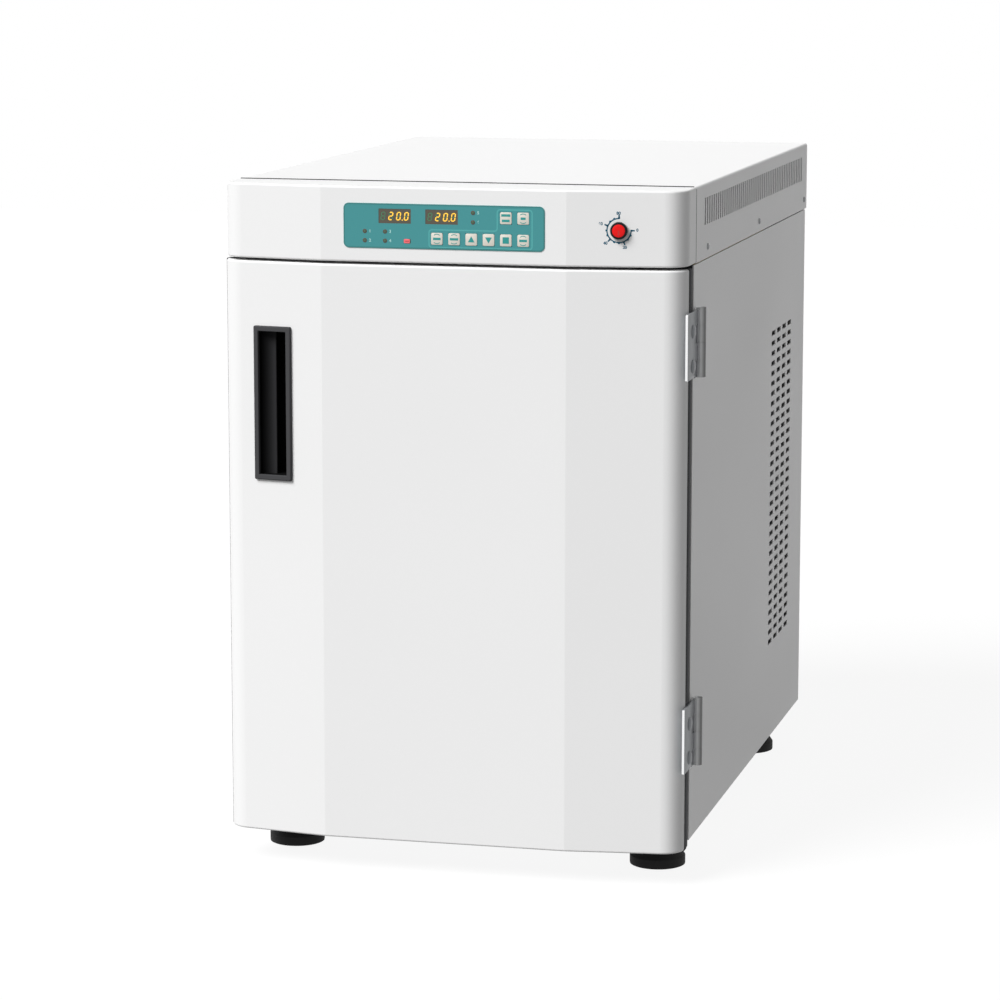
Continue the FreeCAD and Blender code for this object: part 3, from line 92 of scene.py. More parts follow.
def add(tree, kind, inputs=(), **settings):
    """Adds a node; an input that is another node's socket is linked, any other is set."""
    node = tree.nodes.new(kind)
    for name, value in settings.items():
        setattr(node, name, value)
    for key, value in dict(inputs).items():
        if isinstance(value, bpy.types.NodeSocket):
            tree.links.new(value, node.inputs[key])
        else:
            node.inputs[key].default_value = value
    return node


def finish(name, dark, light, grain_mm, rough, metal=0.0, bump_mm=0.0, stretch=(1, 1, 1), detail=3.0,
           play=0.04, coat=0.0, shine=0.5):
    """A surface whose colour and gloss drift between two shades over a grain of a real size."""
    made = bpy.data.materials.new(name)
    made.use_nodes = True
    tree = made.node_tree
    tree.nodes.clear()
    place = add(tree, "ShaderNodeTexCoord").outputs["Object"]
    scaled = add(tree, "ShaderNodeMapping", {"Vector": place, "Scale": stretch})
    drift = add(tree, "ShaderNodeTexNoise", {"Vector": place, "Scale": 6.0, "Detail": 2.0})
    grain = add(tree, "ShaderNodeTexNoise", {"Vector": scaled.outputs["Vector"], "Scale": 1 / (grain_mm * MM),
                                             "Detail": detail, "Roughness": 0.55})
    both = add(tree, "ShaderNodeMath", {0: grain.outputs["Fac"], 1: drift.outputs["Fac"]}, operation="ADD")
    half = add(tree, "ShaderNodeMath", {0: both.outputs[0], 1: 0.5}, operation="MULTIPLY").outputs[0]
    colour = add(tree, "ShaderNodeMix", {"Factor": half, 6: linear(dark), 7: linear(light)}, data_type="RGBA")
    gloss = add(tree, "ShaderNodeMapRange", {"Value": half, "From Min": 0.3, "From Max": 0.7,
                                             "To Min": rough - play, "To Max": rough + play})
    shader = add(tree, "ShaderNodeBsdfPrincipled", {"Base Color": colour.outputs[2], "Metallic": metal,
                                                    "Roughness": gloss.outputs["Result"], "Coat Weight": coat,
                                                    "Specular IOR Level": shine})
    if bump_mm:
        bump = add(tree, "ShaderNodeBump", {"Height": grain.outputs["Fac"], "Distance": bump_mm * MM,
                                            "Strength": 0.6})
        tree.links.new(bump.outputs["Normal"], shader.inputs["Normal"])
    add(tree, "ShaderNodeOutputMaterial", {"Surface": shader.outputs["BSDF"]})
    return made


def shade_across(made, start_mm, end_mm, least):
    """Paints shade on a finish along X, from this share of its colour at the start to all of it at the end."""
    tree = made.node_tree
    shader = tree.nodes["Principled BSDF"]
    colour = shader.inputs["Base Color"].links[0].from_socket
    place = add(tree, "ShaderNodeSeparateXYZ", {0: add(tree, "ShaderNodeTexCoord").outputs["Object"]})
    share = add(tree, "ShaderNodeMapRange", {"Value": place.outputs["X"], "From Min": start_mm * MM,
                                             "From Max": end_mm * MM, "To Min": least, "To Max": 1.0})
    darker = add(tree, "ShaderNodeVectorMath", {0: colour, "Scale": share.outputs["Result"]}, operation="SCALE")
    tree.links.new(darker.outputs[0], shader.inputs["Base Color"])


def glowing(name, dark, light, strength):
    """A lit part: moulded plastic that gives off its own colour."""
    made = finish(name, dark, light, 0.4, 0.4)
    shader = made.node_tree.nodes["Principled BSDF"]
    shader.inputs["Emission Color"].default_value = linear(light)
    shader.inputs["Emission Strength"].default_value = strength
    return made


# Polyester powder coat on sheet steel: satin white, with a faint orange peel of a millimetre and a half.
WHITE_COAT = finish("powder coated steel white", "#EDEDED", "#F1F1F1", 1.5, 0.46, bump_mm=0.012)
# Galvanised sheet: soft grey spangle about a centimetre across, dull and only half metallic to the eye.
GALVANISED = finish("galvanised sheet steel", "#8E9194", "#A4A7A9", 9, 0.45, metal=0.6, bump_mm=0.01,
                    detail=1.0)
# Brushed austenitic stainless sheet: fine lines along the height of each wall.
BRUSHED = finish("brushed stainless sheet", "#A9AAA8", "#C6C6C3", 0.6, 0.32, metal=1.0, bump_mm=0.01,
                 stretch=(1, 1, 0.03), play=0.08)
# Tumbled stainless strip of the hinges' leaves: cool grey with soft upright streaks, coarser than real ones.
HINGE_STEEL = finish("tumbled stainless strip", "#7C7F82", "#8A8D90", 0.9, 0.4, metal=0.3, bump_mm=0.004,
                     stretch=(1, 1, 0.05), play=0.05)
# Its rolled knuckles: a painted highlight, bright towards the door, with painted shade darker along X on the
# outside.
HINGE_ROLL_PAINTED_HIGHLIGHT = finish("rolled stainless knuckle", "#F2F3F4", "#FCFCFC", 0.9, 0.45, metal=0.35, bump_mm=0.004,
                    stretch=(1, 1, 0.05), play=0.05)
shade_across(HINGE_ROLL_PAINTED_HIGHLIGHT, 207.5, 202.5, 0.16)
# The same strip where it was sheared and polished, nearly white under a bright room: a painted highlight on the
# forward-facing edge.
HINGE_EDGE_HIGHLIGHT = finish("polished stainless edge", "#EFF0F1", "#F8F8F8", 0.7, 0.22, metal=1.0, bump_mm=0.002)
# Bright drawn wire of the shelves: clean highlights with faint die lines.
WIRE = finish("bright drawn wire", "#B4B5B4", "#CFCFCE", 1.2, 0.26, metal=1.0, bump_mm=0.004)
# Zinc-plated screws: a middling grey, slightly cloudy.
ZINC = finish("zinc plated screw", "#66686A", "#7C7E7F", 1.0, 0.35, metal=1.0, bump_mm=0.01)
# Moulded nitrile rubber: black going grey where it is handled, dull all over.
RUBBER = finish("moulded nitrile rubber", "#262627", "#323232", 0.8, 0.7, bump_mm=0.02, shine=0.15)
# Soft vinyl of the door seal: a slightly cool black with a low sheen. The same black on the housing's seam
# strip is painted shadow of the gap there.
SEAL_AND_SEAM_SHADOW = finish("soft vinyl seal", "#1C1C1E", "#27272A", 1.2, 0.55, bump_mm=0.01, shine=0.15)
# ABS of the front frame and the door's inner panel, with a fine spark-eroded grain.
ABS_GREY = finish("moulded abs dark grey", "#323335", "#3D3E41", 0.7, 0.6, bump_mm=0.015, shine=0.08)
# The same plastic in the pull's rim, a little lighter.
PULL_RIM = finish("moulded abs pull rim", "#454547", "#4D4D4F", 0.6, 0.7, bump_mm=0.012, shine=0.03)
# In the pull's curved lip: painted shade, nearly black beside the rim, dark grey at the free edge.
PULL_LIP_PAINTED_SHADE = finish("moulded abs pull lip", "#2E2E2F", "#353537", 0.6, 0.7, bump_mm=0.012, shine=0.02)
shade_across(PULL_LIP_PAINTED_SHADE, -166.7, -155.6, 0.1)
# And in the pull's tub, painted black as the shade of the deep recess.
PULL_TUB_PAINTED_SHADE = finish("moulded abs pull tub", "#0A0A0B", "#111112", 0.8, 0.6, bump_mm=0.02, shine=0.05)
# Rigid polyurethane foam, cut face: cream with small open cells.
FOAM = finish("polyurethane foam", "#D8C489", "#EBDDAE", 0.9, 0.9, bump_mm=0.15)
# Printed polyester membrane: an even colour under a very fine matt texture.
MEMBRANE = finish("printed polyester film teal", "#3B8A8D", "#3F9194", 0.35, 0.42, bump_mm=0.004)
MEMBRANE_EDGE = finish("printed film dark border", "#2F7979", "#37807F", 0.35, 0.42, bump_mm=0.004)
# Screen inks: a paler teal line, pale figures, dark teal for the dial and white for the rocker's signs, each a
# slightly raised film.
LINE_INK = finish("pale screen print", "#4BA3A2", "#55ABAA", 0.3, 0.45)
FIGURE_INK = finish("figure screen print", "#9FD0CC", "#B0DAD6", 0.3, 0.45)
DIAL_INK = finish("dark teal screen print", "#004E66", "#025A72", 0.3, 0.45, shine=0.2)
WHITE_INK = finish("white pad print", "#D8D8D6", "#E6E6E4", 0.3, 0.45)
# Smoked acrylic window: dark olive and glossy.
WINDOW = finish("smoked acrylic window", "#4A4436", "#524B3C", 2.0, 0.18, coat=0.3)
# Diode bars behind the window, lit amber and unlit green.
LIT = glowing("lit amber segment", "#F2B736", "#F9C945", 0.6)
UNLIT = finish("unlit green segment", "#3F6E4F", "#487A57", 0.4, 0.35)
# Matt key tops, pale warm grey with teal signs.
KEY_FILM = finish("printed key top", "#DDD8CC", "#E5E1D7", 0.4, 0.5, bump_mm=0.006)
KEY_INK = finish("key screen print", "#1F8C87", "#2A9591", 0.3, 0.5)
# Tinted epoxy lenses over the lamps: brown and glossy, the diode showing green through the middle.
LENS_DARK = finish("unlit tinted lens", "#453C33", "#51473C", 0.8, 0.25, coat=0.4)
LENS_CORE = finish("unlit diode", "#34583B", "#426B49", 0.4, 0.3)
LENS_RED = glowing("lit red lens", "#DE5C62", "#E86B70", 0.3)
LENS_STRIP = finish("red lens filament", "#B84A50", "#C45559", 0.5, 0.35)
# Phenolic knob: hard black with a slight polish. Its cap is a bright red press-fit disc.
KNOB_BLACK = finish("moulded black phenolic", "#081215", "#0F1A1D", 0.7, 0.38, bump_mm=0.01, shine=0.15)
KNOB_RED = finish("moulded red cap", "#EA1818", "#F42020", 0.9, 0.4, bump_mm=0.006, shine=0.2)
KNOB_LINE = finish("pressed red line", "#C42020", "#D02828", 0.6, 0.45)
# Glass-filled nylon of the inlet, the rocker and the fans.
NYLON = finish("moulded black nylon", "#101011", "#1B1B1C", 0.7, 0.45, bump_mm=0.012, shine=0.2)
# Epoxy board under green solder mask, mottled where copper lies beneath.
BOARD = finish("epoxy circuit board", "#14532C", "#1E6B3B", 2.5, 0.35)
# Mill-finish aluminium fins: bright, with rolling marks.
ALUMINIUM = finish("mill finish aluminium", "#AEB0B2", "#C4C6C8", 1.5, 0.35, metal=1.0, bump_mm=0.01)
# Drawn copper tube, browned here and there by brazing.
COPPER = finish("drawn copper tube", "#B06A42", "#CF8458", 3, 0.3, metal=1.0, bump_mm=0.005)
# Baked enamel of the compressor pot: deep black, glossy, a little wavy.
ENAMEL = finish("baked black enamel", "#0D0D0E", "#18181A", 1.5, 0.3, bump_mm=0.02, coat=0.4)
# Nickel-plated brass pins of the inlet: warm and bright.
PIN_METAL = finish("nickel plated pin", "#A9A79F", "#C2C0B8", 0.8, 0.3, metal=1.0)

NODE_FINISH = {
    WHITE_COAT: ("top_cover", "left_side_panel", "right_side_panel", "back_panel", "control_housing",
                 "door_shell"),
    GALVANISED: ("base_pan", "top_deck", "condenser_shroud", "power_supply", "circulation_motor"),
    BRUSHED: ("inner_chamber", "duct_cover", "shelf_rack_left", "shelf_rack_right", "heater",
              "temperature_sensor"),
    WIRE: ("shelf_lower", "shelf_upper"),
    HINGE_STEEL: ("hinge_upper_door_leaf", "hinge_upper_frame_leaf", "hinge_lower_door_leaf",
                  "hinge_lower_frame_leaf"),
    RUBBER: ("foot_front_left", "foot_front_right", "foot_rear_left", "foot_rear_right"),
    SEAL_AND_SEAM_SHADOW: ("door_gasket",),
    ABS_GREY: ("front_frame", "door_liner"),
    PULL_RIM: ("handle_grip",),
    FOAM: ("cabinet_insulation", "door_insulation"),
    MEMBRANE: ("keypad_overlay",),
    WINDOW: ("display_left", "display_right"),
    LENS_DARK: ("light_guide",),
    KEY_FILM: tuple(f"key_{i}" for i in range(1, 9)),
    KNOB_BLACK: ("limit_knob",),
    KNOB_RED: ("limit_knob_cap",),
    NYLON: ("circulation_fan", "condenser_fan", "power_inlet", "power_switch", "limit_thermostat"),
    BOARD: ("display_board", "main_board"),
    ALUMINIUM: ("evaporator", "condenser"),
    COPPER: ("suction_line", "discharge_line"),
    ENAMEL: ("compressor",),
}
for finish_of, names in NODE_FINISH.items():
    for node_name in names:
        NODES[node_name].data.materials.clear()
        NODES[node_name].data.materials.append(finish_of)


def show(name, mesh, coat, body):
    """Puts a finished mesh in the scene, on its body."""
    mesh.materials.clear()
    mesh.materials.append(coat)
    piece = bpy.data.objects.new(name, mesh)
    bpy.context.scene.collection.objects.link(piece)
    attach(piece, body)
    return piece


def settle(name, bm, coat, body, crease=32):
    """Turns a bmesh in millimetres into a finished piece in metres that rides on a body."""
    bmesh.ops.scale(bm, vec=(MM, MM, MM), verts=bm.verts)
    for face in bm.faces:
        face.smooth = True
    limit = math.radians(crease)
    for edge in bm.edges:
        edge.smooth = len(edge.link_faces) == 2 and edge.calc_face_angle(0) < limit
    mesh = bpy.data.meshes.new(name)
    bm.to_mesh(mesh)
    bm.free()
    return show(name, mesh, coat, body)


def rounded(points, radius, steps=4):
    """A closed outline with every corner turned into an arc."""
    corners = [Vector(p) for p in points]
    path = []
    for before, corner, after in zip([corners[-1]] + corners, corners, corners[1:] + corners[:1]):
        toward = (before - corner).normalized()
        away = (after - corner).normalized()
        half = toward.angle(away) / 2
        back_off = radius / math.tan(half)
        centre = corner + (toward + away).normalized() * math.hypot(radius, back_off)
        start = corner + toward * back_off - centre
        turn = start.angle_signed(corner + away * back_off - centre)
        for i in range(steps + 1):
            path.append(centre + Matrix.Rotation(-turn * i / steps, 2) @ start)
    return path


def rectangle(x0, z0, x1, z1):
    """The four corners of a rectangle on a drawing plane."""
    return [(x0, z0), (x1, z0), (x1, z1), (x0, z1)]


def arc(x, z, radius, start, end, steps=10):
    """Points along part of a circle on a drawing plane."""
    turn = [math.radians(start + (end - start) * i / steps) for i in range(steps + 1)]
    return [(x + radius * math.cos(t), z + radius * math.sin(t)) for t in turn]


def raise_shape(bm, outline, near, far, place=Matrix()):
    """A prism on a drawing plane, from one depth along local Y to another; near is the outer, lower one."""
    front = [bm.verts.new(place @ Vector((x, near, z))) for x, z in outline]
    back = [bm.verts.new(place @ Vector((x, far, z))) for x, z in outline]
    area = sum(a[0] * b[1] - b[0] * a[1] for a, b in zip(outline, list(outline[1:]) + [outline[0]]))
    if area < 0:
        front.reverse()
        back.reverse()
    bm.faces.new(front)
    bm.faces.new(back[::-1])
    for i, vert in enumerate(front):
        after = (i + 1) % len(front)
        bm.faces.new((vert, back[i], back[after], front[after]))
    return front, back


def soften(bm, rings, radius, steps=3):
    """Rounds the edges that close each ring of verts."""
    edges = []
    for ring in rings:
        chosen = set(ring)
        edges += [e for e in {edge for v in ring for edge in v.link_edges} if set(e.verts) <= chosen]
    bmesh.ops.bevel(bm, geom=edges, offset=radius, offset_type="OFFSET", segments=steps, profile=0.5,
                    affect="EDGES", clamp_overlap=True)


def stroke(bm, points, width, place, closed=False, near=-PRINT, far=0.0):
    """A printed line of even width along straight runs."""
    spots = [Vector(p) for p in points]
    left, right = [], []
    count = len(spots)
    for i, spot in enumerate(spots):
        before = spots[i - 1] if closed or i else None
        after = spots[(i + 1) % count] if closed or i < count - 1 else None
        lead = (spot - before).normalized() if before is not None else (after - spot).normalized()
        trail = (after - spot).normalized() if after is not None else lead
        mean = (lead + trail).normalized()
        side = Vector((-mean.y, mean.x)) * (width / 2 / max(0.3, mean.dot(lead)))
        left.append(spot + side)
        right.append(spot - side)
    for i in range(count if closed else count - 1):
        after = (i + 1) % count
        raise_shape(bm, [left[i], left[after], right[after], right[i]], near, far, place)


def lathe(bm, profile, place=Matrix(), steps=48, hollow=False):
    """A form turned about local Z from (radius, height) points; a hollow one closes on its first point."""
    turn = [math.tau * i / steps for i in range(steps)]
    rings = []
    for radius, height in profile:
        around = [(0, 0)] if radius < 1e-6 else [(radius * math.cos(t), radius * math.sin(t)) for t in turn]
        rings.append([bm.verts.new(place @ Vector((x, y, height))) for x, y in around])
    for low, high in zip(rings, rings[1:] + rings[:1] if hollow else rings[1:]):
        for i in range(steps):
            after = (i + 1) % steps
            corners = [low[i % len(low)], low[after % len(low)], high[after % len(high)], high[i % len(high)]]
            corners = list(dict.fromkeys(corners))
            if len(corners) > 2:
                bm.faces.new(corners)


def sweep_frame(bm, half_x, half_z, section, corner, place):
    """A closed section swept round a rectangle, given as inset from the outer edge and depth along local Y."""
    rings = []
    for inset, depth in section:
        x, z = half_x - inset, half_z - inset
        path = rounded(rectangle(-x, -z, x, z), max(corner - inset, 0.2), 3)
        rings.append([bm.verts.new(place @ Vector((p.x, depth, p.y))) for p in path])
    for ring, after in zip(rings, rings[1:] + rings[:1]):
        for j in range(len(ring)):
            k = (j + 1) % len(ring)
            bm.faces.new((ring[j], ring[k], after[k], after[j]))
    bmesh.ops.recalc_face_normals(bm, faces=bm.faces)


def print_figures(name, words, size, weight, place, coat):
    """Plain numbers in a bold hand, each centred on its spot of a drawing plane, as one printed piece."""
    whole = bmesh.new()
    for text, (x, z) in words:
        curve = bpy.data.curves.new(name, "FONT")
        curve.body = text
        curve.size = size
        curve.align_x = "CENTER"
        curve.align_y = "CENTER"
        curve.extrude = PRINT / 2
        curve.offset = weight
        holder = bpy.data.objects.new(name, curve)
        bpy.context.scene.collection.objects.link(holder)
        bpy.context.view_layer.update()
        mesh = bpy.data.meshes.new_from_object(holder.evaluated_get(bpy.context.evaluated_depsgraph_get()))
        bpy.data.objects.remove(holder)
        mesh.transform(place @ Matrix.Translation((x, 0, z)) @ tilt(90, "X"))
        whole.from_mesh(mesh)
        bpy.data.meshes.remove(mesh)
    return settle(name, whole, coat, "cabinet")


def new_tree(name, inputs):
    """A Geometry Nodes tree with named inputs, ready for its nodes."""
    tree = bpy.data.node_groups.new(name, "GeometryNodeTree")
    for label, kind in inputs.items():
        tree.interface.new_socket(label, in_out="INPUT", socket_type="NodeSocket" + kind)
    tree.interface.new_socket("Geometry", in_out="OUTPUT", socket_type="NodeSocketGeometry")
    return tree, add(tree, "NodeGroupInput").outputs


def close_tree(tree, geometry):
    """Realize the instances, give them their material and lead them out."""
    whole = add(tree, "GeometryNodeRealizeInstances", {0: geometry})
    coated = add(tree, "GeometryNodeSetMaterial", {"Geometry": whole.outputs[0]})
    add(tree, "NodeGroupOutput", {0: coated.outputs[0]})


def grown(name, tree, values, coat, body, place=Matrix()):
    """Runs a tree once with these inputs and keeps the result as a plain piece."""
    carrier = bpy.data.objects.new(name + "_seed", bpy.data.meshes.new(name + "_seed"))
    bpy.context.scene.collection.objects.link(carrier)
    growth = carrier.modifiers.new("growth", "NODES")
    growth.node_group = tree
    for item in tree.interface.items_tree:
        if item.in_out == "INPUT" and item.name in values:
            growth[item.identifier] = values[item.name]
    tree.nodes["Set Material"].inputs["Material"].default_value = coat
    bpy.context.view_layer.update()
    depsgraph = bpy.context.evaluated_depsgraph_get()
    mesh = bpy.data.meshes.new_from_object(carrier.evaluated_get(depsgraph))
    mesh.name = name
    carrier.modifiers.remove(growth)
    bpy.data.objects.remove(carrier)
    mesh.transform(place)
    return show(name, mesh, coat, body)


def make_row_tree():
    """One thing repeated along a straight line."""
    tree, given = new_tree("straight_row", {"Thing": "Object", "Count": "Int", "Start": "Vector",
                                            "Step": "Vector", "Turn": "Vector"})
    thing = add(tree, "GeometryNodeObjectInfo", {"Object": given["Thing"]})
    line = add(tree, "GeometryNodeMeshLine", {"Count": given["Count"], "Start Location": given["Start"],
                                              "Offset": given["Step"]})
    turn = add(tree, "FunctionNodeEulerToRotation", {0: given["Turn"]})
    row = add(tree, "GeometryNodeInstanceOnPoints", {"Points": line.outputs["Mesh"],
                                                     "Instance": thing.outputs["Geometry"],
                                                     "Rotation": turn.outputs[0]})
    close_tree(tree, row.outputs[0])
    return tree


def make_arc_tree():
    """One thing repeated round an arc about local Z, each turned to face outwards."""
    tree, given = new_tree("round_row", {"Thing": "Object", "Count": "Int", "First": "Float", "Pitch": "Float"})
    thing = add(tree, "GeometryNodeObjectInfo", {"Object": given["Thing"]})
    line = add(tree, "GeometryNodeMeshLine", {"Count": given["Count"], "Offset": (0, 0, 0)})
    number = add(tree, "GeometryNodeInputIndex")
    angle = add(tree, "ShaderNodeMath", {0: number.outputs[0], 1: given["Pitch"], 2: given["First"]},
                operation="MULTIPLY_ADD")
    about = add(tree, "ShaderNodeCombineXYZ", {"Z": angle.outputs[0]})
    turn = add(tree, "FunctionNodeEulerToRotation", {0: about.outputs[0]})
    row = add(tree, "GeometryNodeInstanceOnPoints", {"Points": line.outputs["Mesh"],
                                                     "Instance": thing.outputs["Geometry"],
                                                     "Rotation": turn.outputs[0]})
    close_tree(tree, row.outputs[0])
    return tree


def make_shelf_tree():
    """A bent round-bar frame with thinner wires across it from front to back."""
    tree, given = new_tree("wire_shelf", {"Width": "Float", "Depth": "Float", "Corner": "Float", "Bar": "Float",
                                          "Wire": "Float", "Wires": "Int", "Pitch": "Float"})
    loop = add(tree, "GeometryNodeCurvePrimitiveQuadrilateral", {"Width": given["Width"],
                                                                 "Height": given["Depth"]})
    bent = add(tree, "GeometryNodeFilletCurve", {"Curve": loop.outputs[0], "Radius": given["Corner"],
                                                 "Count": 6}, mode="POLY")
    bar = add(tree, "GeometryNodeCurvePrimitiveCircle", {"Resolution": 14, "Radius": given["Bar"]})
    border = add(tree, "GeometryNodeCurveToMesh", {"Curve": bent.outputs[0], "Profile Curve": bar.outputs[0],
                                                   "Fill Caps": True})
    half = add(tree, "ShaderNodeMath", {0: given["Depth"], 1: 0.5}, operation="MULTIPLY")
    back = add(tree, "ShaderNodeCombineXYZ", {"Y": half.outputs[0]})
    front = add(tree, "ShaderNodeVectorMath", {0: back.outputs[0], "Scale": -1.0}, operation="SCALE")
    run = add(tree, "GeometryNodeCurvePrimitiveLine", {"Start": front.outputs[0], "End": back.outputs[0]})
    round_wire = add(tree, "GeometryNodeCurvePrimitiveCircle", {"Resolution": 10, "Radius": given["Wire"]})
    rod = add(tree, "GeometryNodeCurveToMesh", {"Curve": run.outputs[0], "Profile Curve": round_wire.outputs[0],
                                                "Fill Caps": True})
    gaps = add(tree, "ShaderNodeMath", {0: given["Wires"], 1: -1.0}, operation="ADD")
    reach = add(tree, "ShaderNodeMath", {0: gaps.outputs[0], 1: given["Pitch"]}, operation="MULTIPLY")
    first = add(tree, "ShaderNodeMath", {0: reach.outputs[0], 1: -0.5}, operation="MULTIPLY")
    start = add(tree, "ShaderNodeCombineXYZ", {"X": first.outputs[0]})
    step = add(tree, "ShaderNodeCombineXYZ", {"X": given["Pitch"]})
    line = add(tree, "GeometryNodeMeshLine", {"Count": given["Wires"], "Start Location": start.outputs[0],
                                              "Offset": step.outputs[0]})
    rods = add(tree, "GeometryNodeInstanceOnPoints", {"Points": line.outputs[0], "Instance": rod.outputs[0]})
    both = add(tree, "GeometryNodeJoinGeometry", {0: border.outputs[0]})
    tree.links.new(rods.outputs[0], both.inputs[0])
    smooth = add(tree, "GeometryNodeSetShadeSmooth", {0: both.outputs[0]})
    close_tree(tree, smooth.outputs[0])
    return tree


def pattern(name, bm):
    """A mesh that a tree repeats; its object is removed after use."""
    bmesh.ops.scale(bm, vec=(MM, MM, MM), verts=bm.verts)
    mesh = bpy.data.meshes.new(name)
    bm.to_mesh(mesh)
    bm.free()
    thing = bpy.data.objects.new(name, mesh)
    bpy.context.scene.collection.objects.link(thing)
    return thing


def to_metres(place):
    """A placing in millimetres, for a mesh that is in metres already."""
    return Matrix.Scale(MM, 4) @ place @ Matrix.Scale(1 / MM, 4)


KEY_PITCH = 14.8
KEY_HALF = 4.95
KEY_PROUD = 0.4
KEYS = [(i * KEY_PITCH - 8.9, -42.7) for i in range(6)] + [(i * KEY_PITCH - 8.9, -24.3) for i in (4, 5)]
SIGN_FOOT = 0.02
BAR_LENS = (-37.4, -46.9, -32.3, -43.5)
BAR_FILAMENT = (-36.7, -45.7, -33, -44.7)
BAR_END = (-32.2, -46.8, -31.8, -43.6)
LAMPS = [(-71.4, -37.5), (-71.4, -45.2), (-53.8, -37.5), (-53.8, -45.2), (22.1, -20.4), (22.1, -28.3)]
PAD = (-89.9, -51.5, 83.3, -14)
KEY_OUTLINE = [(-15.7, -35.2), (42.9, -35.2), (42.9, -17.3), (72.7, -17.3), (72.7, -49.9), (-15.7, -49.9)]
WINDOWS = (-45.4, -4.9)
WINDOW_DROP = -24.5
FIGURE_PITCH = 6.73
FIGURE_LEAN = Matrix(((1, 0, 0.14, 0), (0, 1, 0, 0), (0, 0, 1, 0), (0, 0, 0, 1)))
SEGMENTS = {"a": (0, 3.1, False), "b": (1.5, 1.55, True), "c": (1.5, -1.55, True), "d": (0, -3.1, False),
            "e": (-1.5, -1.55, True), "f": (-1.5, 1.55, True), "g": (0, 0, False)}
SEGMENT_HALF = {True: 1.5, False: 1.3}
SEGMENT_POINT = 0.45
SEGMENT_THICK = 0.04
LIT_DEPTH = 0.12
UNLIT_DEPTH = 0.16
FIGURES = {"8": "", "2": "abged", "0": "abcdef"}


def add_membrane_print():
    """The dark border of the film and the pale line round its keys."""
    bm = bmesh.new()
    x0, z0, x1, z1 = PAD
    stroke(bm, rounded(rectangle(x0 + 0.6, z0 + 0.6, x1 - 0.6, z1 - 0.6), 3.9), 1.2, KEYPAD, closed=True)
    settle("membrane_border", bm, MEMBRANE_EDGE, "cabinet")
    bm = bmesh.new()
    stroke(bm, rounded(KEY_OUTLINE, 2.4), 1.1, KEYPAD, closed=True)
    settle("membrane_outline", bm, LINE_INK, "cabinet")


def add_digits():
    """Four slanted figures in each window, made of pointed bars; the first figure is unlit."""
    lit = bmesh.new()
    unlit = bmesh.new()
    for middle in WINDOWS:
        for i, figure in enumerate("8200"):
            across = middle + FIGURE_PITCH * (i - 1.5)
            centre = KEYPAD @ Matrix.Translation((across, 0, WINDOW_DROP)) @ FIGURE_LEAN
            for name, (x, z, upright) in SEGMENTS.items():
                half = SEGMENT_HALF[upright]
                tip = half - SEGMENT_POINT
                points = [(-half, 0), (-tip, SEGMENT_POINT), (tip, SEGMENT_POINT), (half, 0),
                          (tip, -SEGMENT_POINT), (-tip, -SEGMENT_POINT)]
                if upright:
                    points = [(v, u) for u, v in points]
                bar = [(x + u, z + v) for u, v in points]
                if name in FIGURES[figure]:
                    raise_shape(lit, bar, LIT_DEPTH, LIT_DEPTH + SEGMENT_THICK, centre)
                else:
                    raise_shape(unlit, bar, UNLIT_DEPTH, UNLIT_DEPTH + SEGMENT_THICK, centre)
        dot = arc(middle + 6.5, WINDOW_DROP - 3.2, 0.5, 0, 330, 11)
        raise_shape(lit, dot, LIT_DEPTH, LIT_DEPTH + SEGMENT_THICK, KEYPAD)
    settle("lit_figures", lit, LIT, "cabinet")
    settle("unlit_figures", unlit, UNLIT, "cabinet")


def add_keys():
    """Each key: a film cap with soft edges, its stem and its printed sign."""
    for i, (x, z) in enumerate(KEYS, 1):
        bm = bmesh.new()
        cap = rounded(rectangle(x - KEY_HALF, z - KEY_HALF, x + KEY_HALF, z + KEY_HALF), 1.1)
        front = raise_shape(bm, cap, -KEY_PROUD, 1.5, KEYPAD)[0]
        soften(bm, [front], 0.25, 2)
        stem = KEYPAD @ Matrix.Translation((x, 1.4, z)) @ tilt(-90, "X")
        lathe(bm, [(0, 0), (2, 0), (2, 4.6), (0, 4.6)], stem, 16)
        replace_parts(settle(f"key_cap_{i}", bm, KEY_FILM, f"key_{i}"), f"key_{i}")
        bm = bmesh.new()
        top = KEYPAD @ Matrix.Translation((x, -KEY_PROUD, z))
        if i in (3, 4):
            way = 1 if i == 3 else -1
            raise_shape(bm, [(-2.9, -2.2 * way), (2.9, -2.2 * way), (0, 2.8 * way)], -PRINT, SIGN_FOOT, top)
        elif i == 5:
            raise_shape(bm, rectangle(-2.7, -2.7, 2.7, 2.7), -PRINT, SIGN_FOOT, top)
        elif i == 7:
            for level, reach in ((2.4, 3.9), (-2.1, 3.3)):
                stroke(bm, [(-reach, level), (reach, level)], 2.0, top, far=SIGN_FOOT)
        else:
            reach = {1: 3.3, 2: 3.6, 6: 3.3, 8: 2.1}[i]
            stroke(bm, [(-reach, 0), (reach, 0)], 2.0, top, far=SIGN_FOOT)
            for start in (50, 230):
                stroke(bm, arc(0, 0, 3.9, start, start + 80), 0.6, top, far=SIGN_FOOT)
        settle(f"key_sign_{i}", bm, KEY_INK, f"key_{i}")


